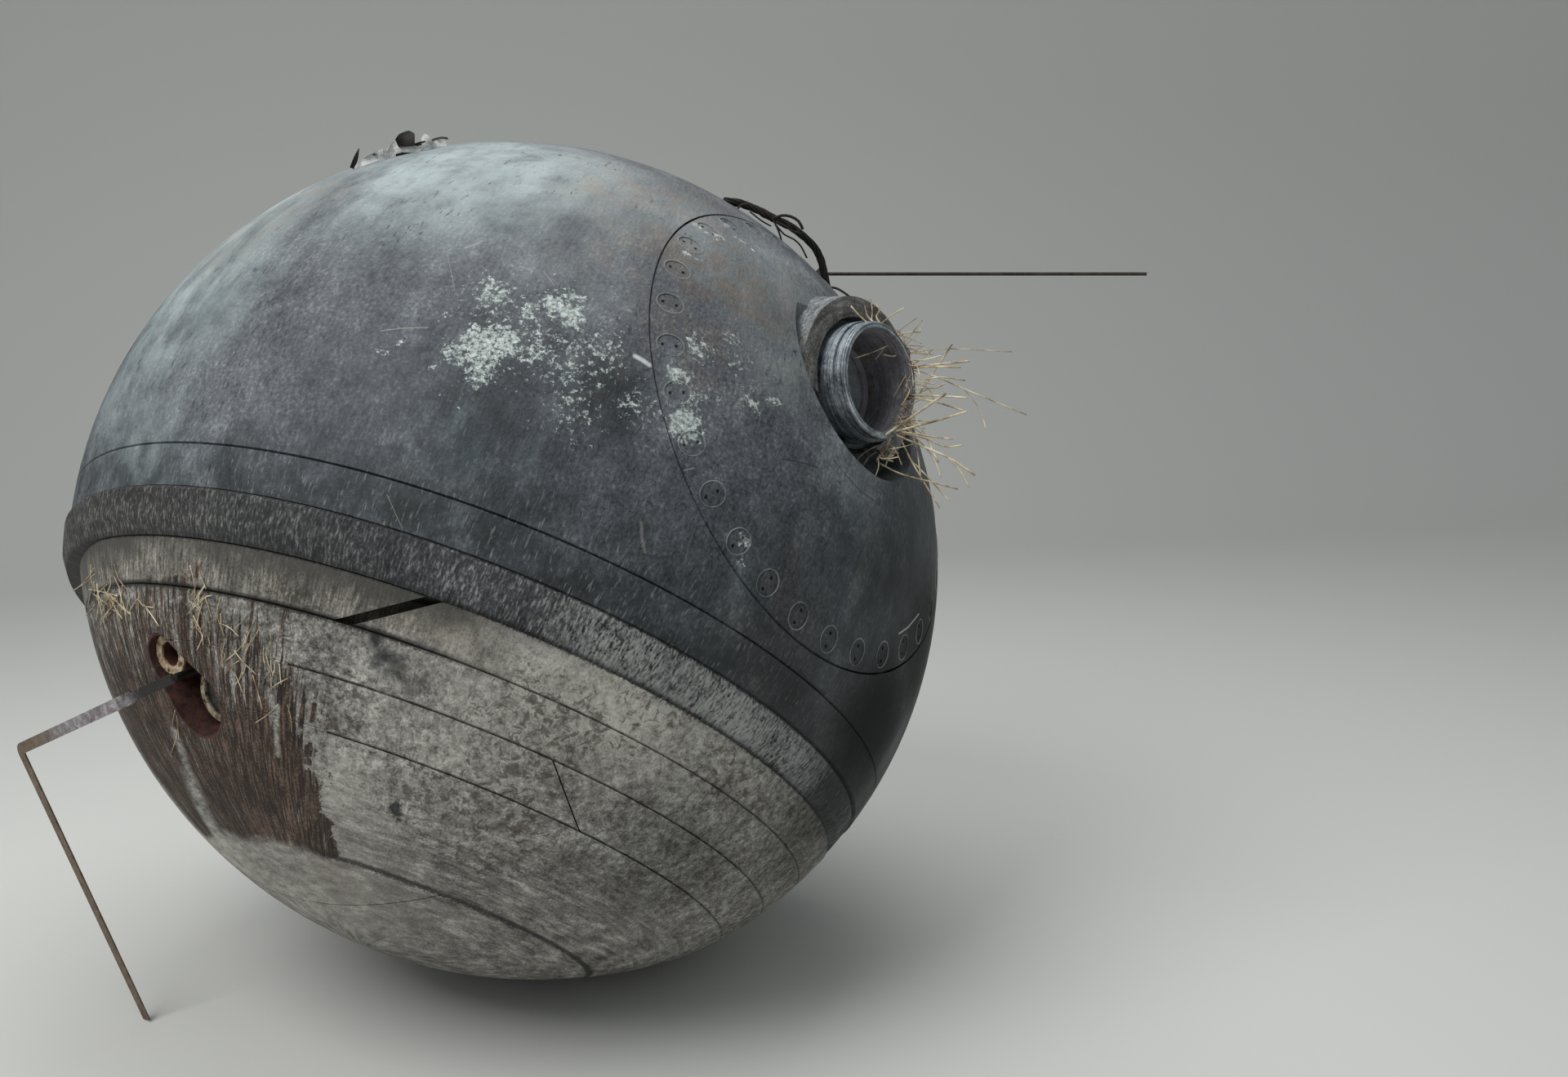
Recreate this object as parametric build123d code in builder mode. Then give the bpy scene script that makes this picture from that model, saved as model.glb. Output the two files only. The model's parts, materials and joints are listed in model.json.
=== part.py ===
from build123d import *
import os
from math import asin, cos, pi, radians, sin, sqrt

# Spherical re-entry capsule after landing. Millimetres, +Z up, the floor at z = 0.
# The origin is the centre of the small flat that the worn shell rests on.

# Ball: the whole shell, its hollow cabin and the lean of its heat shield
BALL_R = 1150.0
SHIELD_TILT = 37.7
SHIELD_HEADING = -130.5
SHELL_WALL = 120.0
SHIELD_THICKNESS = 250.0
CABIN_RISE = 50.0

# Wear: the heat shield has burnt back to a second, flatter ball, which rests on a small flat
WORN_GROWTH = 63.0
WORN_SHIFT_X = 100.3
WORN_SHIFT_Y = -6.3
WORN_SHIFT_Z = 112.5
REST_DEPTH = 8.5

# Heights of the shell's slabs along the shield axis, from the shield's pole to the crown
CAP_HEIGHT = 83.0
RING_GH_HEIGHT = 87.0
RING_FG_HEIGHT = 194.0
RING_EF_HEIGHT = 94.0
RING_DE_HEIGHT = 97.0
RING_CD_HEIGHT = 94.0
BAND_BC_HEIGHT = 96.0
RING_AB_HEIGHT = 92.0
SEAM_HALF_WIDTH = 2.5
SEAM_DEPTH = 10.0
SEAM_CUT = (SEAM_DEPTH, SEAM_HALF_WIDTH)

# Proud band between seams B and C, shifted towards its thick side
BAND_GROWTH = 4.0
BAND_SHIFT = 8.0
BAND_SHOULDER_CUT = (6.0, 8.0)
BAND_LIP_CUT = (10.0, 30.0)

# Ring between seams C and D: its left half has lost a layer, with an open scarf between
WORN_LAYER = 4.0
SCARF_LOW = Vector(-0.316, -0.947, 0.062)
SCARF_HIGH = Vector(-0.148, -0.983, 0.103)
SCARF_WIDTH = 20.0
SCARF_DEPTH = 55.0

# Radial joints in the lower rings: two directions that each joint passes through
JOINT_HALF_WIDTH = 1.5
RING_EF_JOINT = (Vector(0.037, -0.978, -0.204), Vector(0.083, -0.928, -0.363))
RING_GH_JOINT = (Vector(-0.177, -0.847, -0.501), Vector(-0.370, -0.704, -0.557))

# Three round openings, a quarter turn apart about the shield axis, just above seam A
FRONT_TURN = -12.73
BAY_TURN = 90.0
CREW_TURN = 180.0
HATCH_ABOVE_SEAM = 54.8
HATCH_OPENING_R = 603.5

# Hatch lids: each seats on a frame inside the shell's opening
LID_SEAM = 5.0
LID_RIM_THICKNESS = 44.0
SEAT_GAP = 0.3
FRAME_SEAT_WIDTH = 83.5
LID_PLUG_GAP = 5.0

# Bolt plugs round each lid, with two spanner holes in each
PLUG_COUNT = 30
PLUG_TURN = 7.4
PLUG_INSET = 42.5
PLUG_HOLE_R = 29.0
PLUG_RING_GAP = 2.0
PLUG_LENGTH = 49.0
PLUG_SINK = 1.5
SPANNER_HOLE_R = 4.5
SPANNER_SPACING = 28.0
SPANNER_DEPTH = 22.0

# Window port in the front lid: its axis stands square to the shield axis
PORT_ABOVE_HATCH_AXIS = 99.7
PORT_PROUD = 50.0
PORT_POCKET_R = 250.0
PORT_POCKET_DEPTH = 70.0
PORT_BOSS_R = 275.0
PORT_BORE_R = 129.0
PORT_NECK_R = 146.0
PORT_FLANGE_R = 172.0
PORT_FLANGE_THICKNESS = 12.0
PORT_CLAMP_R = 160.0
PORT_CLAMP_THICKNESS = 14.0
PORT_LIP_CHAMFER = 4.0
PORT_RINGS = (
    # thickness, radius of each ring of the barrel, from the pocket's floor up to its lip
    (53.0, PORT_NECK_R),
    (4.0, 141.0),
    (32.0, 149.0),
    (4.0, 140.0),
)
PORT_LIP_R = 144.0
PORT_SEAT_R = 146.0
PORT_SEAT_THICKNESS = 46.0
PORT_SEAT_BORE_R = 92.0
PORT_SEAT_GAP = 0.3
GLASS_R = 118.0
GLASS_THICKNESS = 14.0
GLASS_SEAT_THICKNESS = 10.0
RETAINER_BORE_R = 101.0
RETAINER_THICKNESS = 9.0

# Hood over the port's upper side
HOOD_SINK = 15.5
HOOD_LENGTH = 155.0
HOOD_BORE_R = 164.0
HOOD_FRONT_R = 215.0
HOOD_BACK_R = 238.0
HOOD_CHORD_DROP = 110.0

# Parachute bay: an open cup with a bolted ring and a riser lug
BAY_R = 430.0
BAY_GAP = 0.3
BAY_WALL_THICKNESS = 10.0
BAY_DEPTH = 250.0
BAY_FLOOR_THICKNESS = 12.0
BAY_RING_SINK = 30.6
BAY_RING_THICKNESS = 26.0
BAY_RING_WIDTH = 45.7
BAY_BOLT_COUNT = 24
BAY_BOLT_HOLE_R = 6.0
LUG_FROM_WALL = 130.0
LUG_BASE_LENGTH = 220.0
LUG_BASE_WIDTH = 110.0
LUG_BASE_THICKNESS = 14.0
LUG_THICKNESS = 40.0
LUG_HEIGHT = 120.0
LUG_R = 48.0
LUG_BORE_R = 22.0

# Cable socket on the worn side: a pear-shaped pocket round two connectors
SOCKET_DIRECTION = Vector(-0.6573, -0.7502, -0.0712)
SOCKET_RUN = Vector(0.5415, -0.4046, -0.7369)
SOCKET_SINK = 13.8
SOCKET_UPPER_R = 54.0
SOCKET_LOWER_R = 85.0
SOCKET_DEPTH = 108.0
SOCKET_LINER = 6.0
SOCKET_FLOOR = 10.0
SOCKET_GAP = 0.3
CONNECTOR_SPACING = 130.0
CONNECTOR_UPPER_R = 46.0
CONNECTOR_LOWER_R = 65.0
CONNECTORS = (
    # name, side of the socket's middle, radius, bore radius, height, height of the core
    ("upper", -1, CONNECTOR_UPPER_R, 28.0, 76.0, 30.0),
    ("lower", 1, CONNECTOR_LOWER_R, 52.0, 28.0, 16.0),
)

# Strip antenna: out of the socket, to an elbow, and down to just above the floor
STRIP_WIDTH = 28.0
STRIP_THICKNESS = 4.0
STRIP_ROOT_WIDTH = 22.0
STRIP_ROOT_LENGTH = 190.0
STRIP_STEM_R = 8.0
STRIP_STEM_RISE = 42.0
STRIP_STEM_BEND_R = 20.0
STRIP_LEAVES_DIRECTION = Vector(-0.619, -0.784, -0.049)
STRIP_LEAVES_RISE = 39.0
STRIP_ELBOW_DIRECTION = Vector(-0.928, -0.271, -0.254)
STRIP_ELBOW_RISE = 177.0
STRIP_TIP_DIRECTION = Vector(-0.958, -0.286, 0.0)
STRIP_TIP_INSET = 100.0
STRIP_TIP_HEIGHT = 5.0
STRIP_BEND_R = 20.0

# Rod antenna: a hinged rod on the shell behind the front hatch
ROD_ROOT_DIRECTION = Vector(0.7379, 0.0818, 0.6699)
ROD_RIGHT = Vector(0.98440559, -0.17487561, -0.01908265)
ROD_LENGTH = 935.0
ROD_R = 5.0
ROD_BASE_R = 34.0
ROD_BASE_HEIGHT = 18.0
ROD_CHEEK_GAP = 20.0
ROD_CHEEK_THICKNESS = 7.0
ROD_CHEEK_R = 14.0
ROD_PIVOT_HEIGHT = 44.0
ROD_HUB_R = 11.0
ROD_HUB_WIDTH = 19.0
ROD_PIN_R = 4.0
ROD_PIN_PLAY = 0.05

# Charred cable bundle beside the front hatch, as points from the ball's centre
BUNDLE_R = 11.0
BUNDLE_ROUTE = (
    # x, y, z
    (566.0, -176.0, 984.0),
    (600.0, -166.0, 990.0),
    (634.0, -156.0, 986.0),
    (668.0, -154.0, 970.0),
    (702.0, -149.0, 946.0),
    (748.0, -138.0, 926.0),
    (782.0, -128.0, 902.0),
    (812.0, -108.0, 876.0),
    (838.0, -92.0, 844.0),
    (850.0, -80.0, 808.0),
    (858.0, -72.0, 776.0),
    (866.0, -60.0, 745.0),
)

# Torn insulation on the crown, as outlines seen from the front
TORN_BACK = 230.0
TORN_THICKNESS = 46.0
TORN_OUTLINES = (
    # each outline: across, height against the top of the ball
    ((-400.0, -100.0), (-361.0, -32.0), (-345.0, -90.0)),
    ((-300.0, -75.0), (-272.0, -30.0), (-246.0, -10.0), (-222.0, -24.0), (-216.0, -70.0)),
    ((-206.0, -60.0), (-196.0, -20.0), (-174.0, -14.0), (-144.0, -21.0), (-130.0, -50.0)),
)

# Heavy equipment inside, as one block against the cabin wall
BLOCK_DIRECTION = Vector(0.48, 0.02, -0.88)
BLOCK_LENGTH = 500.0
BLOCK_WIDTH = 470.0
BLOCK_HEIGHT = 400.0
BLOCK_GAP = 0.5

os.makedirs("parts", exist_ok=True)


def heading_vector(elevation, heading):
    """A unit vector from its height above the floor and its turn from +X, in degrees."""
    up, turn = radians(elevation), radians(heading)
    return Vector(cos(up) * cos(turn), cos(up) * sin(turn), sin(up))


def rim(radius, depth, rise=0.0):
    """Radius of a ball's parallel circle, the ball's own centre lifted by rise."""
    return sqrt(radius**2 - (depth + rise) ** 2)


def save(piece, name):
    """Label a finished piece and write its file."""
    piece.part.label = name
    export_step(piece.part, "parts/" + name + ".step")


# The worn ball stands on the floor by its flat, and the whole ball is placed from it
worn_r = BALL_R + WORN_GROWTH
worn_centre = Vector(0, 0, worn_r - REST_DEPTH)
ball_centre = worn_centre - Vector(WORN_SHIFT_X, WORN_SHIFT_Y, WORN_SHIFT_Z)
cabin_r = BALL_R - SHELL_WALL
cabin_floor = BALL_R - SHIELD_THICKNESS

# Seams between the slabs, as distances from the ball's centre towards the shield's pole
seam_h = BALL_R - CAP_HEIGHT
seam_g = seam_h - RING_GH_HEIGHT
seam_f = seam_g - RING_FG_HEIGHT
seam_e = seam_f - RING_EF_HEIGHT
seam_d = seam_e - RING_DE_HEIGHT
seam_c = seam_d - RING_CD_HEIGHT
seam_b = seam_c - BAND_BC_HEIGHT
seam_a = seam_b - RING_AB_HEIGHT

# Directions: the shield's pole, the crown, and the three openings above seam A
shield_dir = heading_vector(SHIELD_TILT - 90.0, SHIELD_HEADING)
crown_dir = shield_dir * -1.0
shield_axis = Axis(ball_centre, shield_dir)
crown_turn = Axis((0, 0, 0), crown_dir)
port_dir = heading_vector(0.0, SHIELD_HEADING + 90.0).rotate(crown_turn, FRONT_TURN)
opening_rise = asin(HATCH_OPENING_R / BALL_R) - asin((seam_a - HATCH_ABOVE_SEAM) / BALL_R)
front_dir = port_dir * cos(opening_rise) + crown_dir * sin(opening_rise)
bay_dir = front_dir.rotate(crown_turn, BAY_TURN)
crew_dir = front_dir.rotate(crown_turn, CREW_TURN)

# Cuts and thick rings start inside the cabin and end outside the ball
cut_start = BALL_R * 0.5
cut_end = BALL_R * 1.2


def profile_plane(origin, direction, side):
    """A plane whose Y runs along direction, for outlines that are turned about it."""
    side = (side - direction * side.dot(direction)).normalized()
    return Plane(origin=origin, x_dir=side, z_dir=side.cross(direction))


def station(direction, distance, origin=ball_centre):
    """The plane square to a direction at a distance along it, its X away from the crown."""
    across = crown_dir.cross(direction).normalized()
    away = across.cross(direction)
    return Plane(origin=origin + direction * distance, x_dir=away, z_dir=direction)


shield_profile = profile_plane(ball_centre, shield_dir, front_dir)


# Solids used only to cut: the cabin, the ball, the worn ball and the ground
with BuildPart() as cabin_void:
    with BuildSketch(shield_profile):
        with BuildLine():
            crown_point = (0, -(cabin_r + CABIN_RISE))
            side_point = (cabin_r, -CABIN_RISE)
            floor_rim = (rim(cabin_r, cabin_floor, CABIN_RISE), cabin_floor)
            ThreePointArc(crown_point, side_point, floor_rim)
            Polyline(floor_rim, (0, cabin_floor), crown_point)
        make_face()
    revolve(axis=shield_axis)


def ball_solid(direction, radius=BALL_R, centre=ball_centre):
    """A whole ball with its poles on a direction."""
    with BuildPart(Plane(origin=centre, z_dir=direction)) as ball:
        Sphere(radius)
    return ball.part


worn_ball = ball_solid((worn_centre - ball_centre).normalized(), worn_r, worn_centre)
with BuildPart() as ground:
    with BuildSketch(Plane.XY):
        Rectangle(4 * BALL_R, 4 * BALL_R)
    extrude(amount=-BALL_R)

# The pocket that the cable socket sits in
socket_dir = SOCKET_DIRECTION.normalized()
socket_run = (SOCKET_RUN - socket_dir * SOCKET_RUN.dot(socket_dir)).normalized()
socket_origin = ball_centre + socket_dir * (BALL_R - SOCKET_SINK)
socket_plane = Plane(origin=socket_origin, x_dir=socket_run, z_dir=socket_dir)


def socket_block(start, inset=0.0):
    """A pear-shaped block from a height over the socket's plane, its outline drawn in by inset."""
    upper, lower = Vector(-CONNECTOR_SPACING / 2, 0), Vector(CONNECTOR_SPACING / 2, 0)
    upper_r, lower_r = SOCKET_UPPER_R - inset, SOCKET_LOWER_R - inset
    lean = (upper_r - lower_r) / CONNECTOR_SPACING
    left, right = Vector(lean, sqrt(1 - lean**2)), Vector(lean, -sqrt(1 - lean**2))
    with BuildPart() as block:
        with BuildSketch(socket_plane.offset(start)):
            with BuildLine():
                upper_left, upper_right = upper + left * upper_r, upper + right * upper_r
                lower_left, lower_right = lower + left * lower_r, lower + right * lower_r
                ThreePointArc(upper_left, upper - Vector(upper_r, 0), upper_right)
                Line(upper_right, lower_right)
                ThreePointArc(lower_right, lower + Vector(lower_r, 0), lower_left)
                Line(lower_left, upper_left)
            make_face()
        extrude(amount=2 * SOCKET_DEPTH)
    return block.part


socket_pocket = socket_block(-SOCKET_DEPTH)


def turned_slab(low, high, radius, centre, low_cut, high_cut):
    """A slab of a ball less the cabin; each rim is cut back by (depth, height)."""
    start = (rim(radius, low + low_cut[1]), low + low_cut[1])
    end = (rim(radius, high - high_cut[1]), high - high_cut[1])
    middle = (rim(radius, (low + high) / 2), (low + high) / 2)
    low_rim = (rim(radius - low_cut[0], low), low)
    high_rim = (rim(radius - high_cut[0], high), high)
    with BuildPart() as slab:
        with BuildSketch(profile_plane(centre, shield_dir, front_dir)):
            with BuildLine():
                ThreePointArc(start, middle, end)
                Polyline(end, high_rim, (0, high), (0, low), low_rim, start)
            make_face()
        revolve(axis=Axis(centre, shield_dir))
        add(cabin_void.part, mode=Mode.SUBTRACT)
    return slab.part


def shell_slab(low, high, radius=BALL_R):
    """A slab of the worn heat shield, cut level with the floor and clear of the socket."""
    with BuildPart() as slab:
        add(turned_slab(low, high, radius, ball_centre, SEAM_CUT, SEAM_CUT))
        add(worn_ball, mode=Mode.INTERSECT)
        add(ground.part, mode=Mode.SUBTRACT)
        add(socket_pocket, mode=Mode.SUBTRACT)
    return slab.part


def joint_plane(points, offset=0.0):
    """The plane through the ball's centre and two points of its surface."""
    normal = points[0].cross(points[1]).normalized()
    return Plane(origin=ball_centre + normal * offset, x_dir=points[0].normalized(), z_dir=normal)


# Crown of the shell, with its three round openings
with BuildPart() as upper_shell:
    with BuildSketch(shield_profile):
        with BuildLine():
            crown_top = (0, -BALL_R)
            rim_point = (rim(BALL_R, seam_a - SEAM_HALF_WIDTH), seam_a - SEAM_HALF_WIDTH)
            ThreePointArc(crown_top, (BALL_R, 0), rim_point)
            Polyline(rim_point, (rim(BALL_R - SEAM_DEPTH, seam_a), seam_a), (0, seam_a), crown_top)
        make_face()
    revolve(axis=shield_axis)
    add(cabin_void.part, mode=Mode.SUBTRACT)
    for opening_dir, opening_r in (
        (front_dir, HATCH_OPENING_R),
        (crew_dir, HATCH_OPENING_R),
        (bay_dir, BAY_R),
    ):
        with BuildSketch(station(opening_dir, cut_start)):
            Circle(opening_r)
        extrude(amount=cut_end - cut_start, mode=Mode.SUBTRACT)
save(upper_shell, "upper_shell")

# Ring between seams A and B
with BuildPart() as ring_ab:
    add(turned_slab(seam_a, seam_b, BALL_R, ball_centre, SEAM_CUT, SEAM_CUT))
save(ring_ab, "ring_ab")

# Proud band between seams B and C
band_side = (Vector(-1, 0, 0) + shield_dir * shield_dir.X).normalized()
band_centre = ball_centre + band_side * BAND_SHIFT
band_r = BALL_R + BAND_GROWTH
with BuildPart() as band_bc:
    add(turned_slab(seam_b, seam_c, band_r, band_centre, BAND_SHOULDER_CUT, BAND_LIP_CUT))
save(band_bc, "band_bc")

# Ring between seams C and D: a worn half and a full half, with the open scarf between
scarf_points = (SCARF_LOW, SCARF_HIGH)
scarf_middle = (SCARF_LOW + SCARF_HIGH) * 0.5
with BuildPart() as scarf_cut:
    with BuildSketch(joint_plane(scarf_points, -SCARF_WIDTH / 2)):
        Circle(BALL_R + SCARF_DEPTH)
        Circle(BALL_R - SCARF_DEPTH, mode=Mode.SUBTRACT)
    extrude(amount=SCARF_WIDTH)
    split(bisect_by=Plane(origin=ball_centre, z_dir=scarf_middle.normalized()), keep=Keep.TOP)

for ring_name, ball_radius, kept_side in (
    ("ring_cd_worn", BALL_R - WORN_LAYER, Keep.TOP),
    ("ring_cd_full", BALL_R, Keep.BOTTOM),
):
    with BuildPart() as ring_cd:
        add(shell_slab(seam_c, seam_d, ball_radius))
        add(scarf_cut.part, mode=Mode.SUBTRACT)
        split(bisect_by=joint_plane(scarf_points), keep=kept_side)
    save(ring_cd, ring_name)

# Ring between seams D and E
with BuildPart() as ring_de:
    add(shell_slab(seam_d, seam_e))
save(ring_de, "ring_de")

# Lower rings that are made in two pieces, each with its radial joint
for ring_name, low_seam, high_seam, joint in (
    ("ring_ef", seam_e, seam_f, RING_EF_JOINT),
    ("ring_gh", seam_g, seam_h, RING_GH_JOINT),
):
    for half_name, half_side, half_offset in (
        ("left", Keep.BOTTOM, -JOINT_HALF_WIDTH),
        ("right", Keep.TOP, JOINT_HALF_WIDTH),
    ):
        with BuildPart() as ring_half:
            add(shell_slab(low_seam, high_seam))
            split(bisect_by=joint_plane(joint, half_offset), keep=half_side)
        save(ring_half, ring_name + "_" + half_name)

# Ring between seams F and G, which carries the cabin floor and the resting flat
with BuildPart() as ring_fg:
    add(shell_slab(seam_f, seam_g))
save(ring_fg, "ring_fg")

# Cap at the shield's pole
with BuildPart() as shield_cap:
    with BuildSketch(shield_profile):
        with BuildLine():
            cap_start = (rim(BALL_R, seam_h + SEAM_HALF_WIDTH), seam_h + SEAM_HALF_WIDTH)
            cap_middle = (rim(BALL_R, (seam_h + BALL_R) / 2), (seam_h + BALL_R) / 2)
            ThreePointArc(cap_start, cap_middle, (0, BALL_R))
            Polyline((0, BALL_R), (0, seam_h), (rim(BALL_R - SEAM_DEPTH, seam_h), seam_h), cap_start)
        make_face()
    revolve(axis=shield_axis)
    add(worn_ball, mode=Mode.INTERSECT)
save(shield_cap, "shield_cap")


frame_bore_r = HATCH_OPENING_R - FRAME_SEAT_WIDTH
lid_seat = rim(BALL_R, HATCH_OPENING_R) - LID_RIM_THICKNESS
plug_circle_r = HATCH_OPENING_R - PLUG_INSET
plug_top = rim(BALL_R, plug_circle_r)


def hatch_frame(direction):
    """The ring that a lid seats on, inside the shell's opening."""
    with BuildPart() as frame:
        with BuildSketch(station(direction, cut_start)):
            Circle(HATCH_OPENING_R - SEAT_GAP)
            Circle(frame_bore_r, mode=Mode.SUBTRACT)
        extrude(amount=lid_seat - cut_start)
        add(cabin_void.part, mode=Mode.SUBTRACT)
    return frame.part


def plug_places():
    """The places of the plugs on their circle."""
    return PolarLocations(plug_circle_r, PLUG_COUNT, start_angle=PLUG_TURN)


def hatch_lid(direction):
    """A stepped lid as thick as the shell, with its holes for the bolt plugs."""
    lid_bottom = lid_seat + SEAT_GAP
    with BuildPart() as lid:
        with BuildSketch(station(direction, lid_bottom)):
            Circle(HATCH_OPENING_R - LID_SEAM)
        extrude(amount=cut_end - lid_bottom)
        with BuildSketch(station(direction, cut_start)):
            Circle(frame_bore_r - LID_PLUG_GAP)
        extrude(amount=lid_bottom - cut_start)
        add(ball_solid(direction), mode=Mode.INTERSECT)
        add(cabin_void.part, mode=Mode.SUBTRACT)
        with BuildSketch(station(direction, plug_top - PLUG_LENGTH)):
            with plug_places():
                Circle(PLUG_HOLE_R)
        extrude(amount=cut_end - plug_top, mode=Mode.SUBTRACT)
    return lid.part


def bolt_plugs(direction):
    """The round plugs over a lid's bolts, flush with the ball, two spanner holes in each."""
    with BuildPart() as plug_set:
        with BuildSketch(station(direction, plug_top - PLUG_LENGTH)):
            with plug_places():
                Circle(PLUG_HOLE_R - PLUG_RING_GAP)
        extrude(amount=cut_end - plug_top)
        add(ball_solid(direction, BALL_R - PLUG_SINK), mode=Mode.INTERSECT)
        with BuildSketch(station(direction, plug_top - SPANNER_DEPTH)):
            with plug_places():
                with GridLocations(SPANNER_SPACING, 1, 2, 1):
                    Circle(SPANNER_HOLE_R)
        extrude(amount=cut_end - plug_top, mode=Mode.SUBTRACT)
    return plug_set.part


# Frames, lids and plugs of the two closed hatches
for hatch_name, hatch_dir in (("front", front_dir), ("crew", crew_dir)):
    with BuildPart() as frame_ring:
        add(hatch_frame(hatch_dir))
    save(frame_ring, hatch_name + "_hatch_frame")
    with BuildPart() as plugs:
        add(bolt_plugs(hatch_dir))
    save(plugs, hatch_name + "_hatch_plugs")

with BuildPart() as crew_hatch_lid:
    add(hatch_lid(crew_dir))
save(crew_hatch_lid, "crew_hatch_lid")


port_rise = BALL_R * sin(opening_rise) + PORT_ABOVE_HATCH_AXIS
port_origin = ball_centre + crown_dir * port_rise
port_surface = rim(BALL_R, port_rise)
pocket_floor = port_surface - PORT_POCKET_DEPTH
port_front = port_surface + PORT_PROUD
glass_seat = pocket_floor - PORT_SEAT_THICKNESS + GLASS_SEAT_THICKNESS
glass_top = glass_seat + GLASS_THICKNESS


def port_station(distance):
    """The plane square to the port's axis at a distance along it."""
    return station(port_dir, distance, port_origin)


def port_ring(start, thickness, outer_r, inner_r):
    """A flat ring round the port's axis."""
    with BuildPart() as ring:
        with BuildSketch(port_station(start)):
            Circle(outer_r)
            Circle(inner_r, mode=Mode.SUBTRACT)
        extrude(amount=thickness)
    return ring.part


with BuildPart() as port_boss:
    with BuildSketch(port_station(pocket_floor - PORT_SEAT_THICKNESS)):
        Circle(PORT_BOSS_R)
    extrude(amount=PORT_SEAT_THICKNESS)
    add(ball_solid(port_dir), mode=Mode.INTERSECT)

with BuildPart() as front_hatch_lid:
    add(hatch_lid(front_dir))
    add(port_boss.part)
    with BuildSketch(port_station(pocket_floor)):
        Circle(PORT_POCKET_R)
    extrude(amount=cut_end - pocket_floor, mode=Mode.SUBTRACT)
    with BuildSketch(port_station(cut_start)):
        Circle(PORT_SEAT_R + PORT_SEAT_GAP)
    extrude(amount=cut_end - cut_start, mode=Mode.SUBTRACT)
save(front_hatch_lid, "front_hatch_lid")

# Port: the seat, the glass and its retainer, then the flange, the clamp ring and the barrel
with BuildPart() as port_seat:
    add(port_ring(pocket_floor - PORT_SEAT_THICKNESS, PORT_SEAT_THICKNESS, PORT_SEAT_R, PORT_SEAT_BORE_R))
    with BuildSketch(port_station(glass_seat)):
        Circle(GLASS_R + PORT_SEAT_GAP)
    extrude(amount=pocket_floor - glass_seat, mode=Mode.SUBTRACT)
save(port_seat, "port_seat")

with BuildPart() as port_glass:
    with BuildSketch(port_station(glass_seat)):
        Circle(GLASS_R)
    extrude(amount=GLASS_THICKNESS)
save(port_glass, "port_glass")

with BuildPart() as port_retainer:
    add(port_ring(glass_top, RETAINER_THICKNESS, GLASS_R, RETAINER_BORE_R))
save(port_retainer, "port_retainer")

with BuildPart() as port_flange:
    add(port_ring(pocket_floor, PORT_FLANGE_THICKNESS, PORT_FLANGE_R, PORT_NECK_R))
save(port_flange, "port_flange")

with BuildPart() as port_clamp_ring:
    clamp_start = pocket_floor + PORT_FLANGE_THICKNESS
    add(port_ring(clamp_start, PORT_CLAMP_THICKNESS, PORT_CLAMP_R, PORT_NECK_R))
save(port_clamp_ring, "port_clamp_ring")

with BuildPart() as port_barrel:
    ring_start = pocket_floor
    for ring_thickness, ring_r in PORT_RINGS:
        add(port_ring(ring_start, ring_thickness, ring_r, PORT_BORE_R))
        ring_start = ring_start + ring_thickness
    add(port_ring(ring_start, port_front - ring_start, PORT_LIP_R, PORT_BORE_R))
    rim_edges = port_barrel.edges().filter_by(GeomType.CIRCLE).sort_by(Axis(port_origin, port_dir))
    chamfer(rim_edges[-2:].sort_by(SortBy.RADIUS)[-1], length=PORT_LIP_CHAMFER)
save(port_barrel, "port_barrel")

# Hood: a tapered collar over the port's upper side, seated on the lid
hood_profile = profile_plane(port_origin, port_dir, crown_dir)
hood_front = port_surface - HOOD_SINK
hood_back = hood_front - HOOD_LENGTH
with BuildPart() as port_hood:
    with BuildSketch(hood_profile):
        with BuildLine():
            Polyline(
                (HOOD_BORE_R, hood_back),
                (HOOD_BACK_R, hood_back),
                (HOOD_FRONT_R, hood_front),
                (HOOD_BORE_R, hood_front),
                close=True,
            )
        make_face()
    revolve(axis=Axis(port_origin, port_dir))
    split(bisect_by=Plane(origin=port_origin - crown_dir * HOOD_CHORD_DROP, z_dir=crown_dir), keep=Keep.TOP)
    add(front_hatch_lid.part, mode=Mode.SUBTRACT)
    add(cabin_void.part, mode=Mode.SUBTRACT)
    add(port_flange.part, mode=Mode.SUBTRACT)
save(port_hood, "port_hood")

# Parachute bay: the floor and wall of its cup, its bolted ring and its riser lug
bay_ring_front = rim(BALL_R, BAY_R) - BAY_RING_SINK
bay_ring_back = bay_ring_front - BAY_RING_THICKNESS
bay_bottom = bay_ring_back - BAY_DEPTH
bay_seat = bay_bottom + BAY_FLOOR_THICKNESS
cup_r = BAY_R - BAY_GAP
with BuildPart() as bay_floor:
    with BuildSketch(station(bay_dir, bay_bottom)):
        Circle(cup_r)
    extrude(amount=BAY_FLOOR_THICKNESS)
save(bay_floor, "bay_floor")

with BuildPart() as bay_wall:
    with BuildSketch(station(bay_dir, bay_seat)):
        Circle(cup_r)
        Circle(cup_r - BAY_WALL_THICKNESS, mode=Mode.SUBTRACT)
    extrude(amount=bay_ring_back - bay_seat)
save(bay_wall, "bay_wall")

with BuildPart() as bay_ring:
    with BuildSketch(station(bay_dir, bay_ring_back)):
        Circle(cup_r)
        Circle(cup_r - BAY_RING_WIDTH, mode=Mode.SUBTRACT)
        with PolarLocations(cup_r - BAY_RING_WIDTH / 2, BAY_BOLT_COUNT):
            Circle(BAY_BOLT_HOLE_R, mode=Mode.SUBTRACT)
    extrude(amount=BAY_RING_THICKNESS)
save(bay_ring, "bay_ring")

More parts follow.
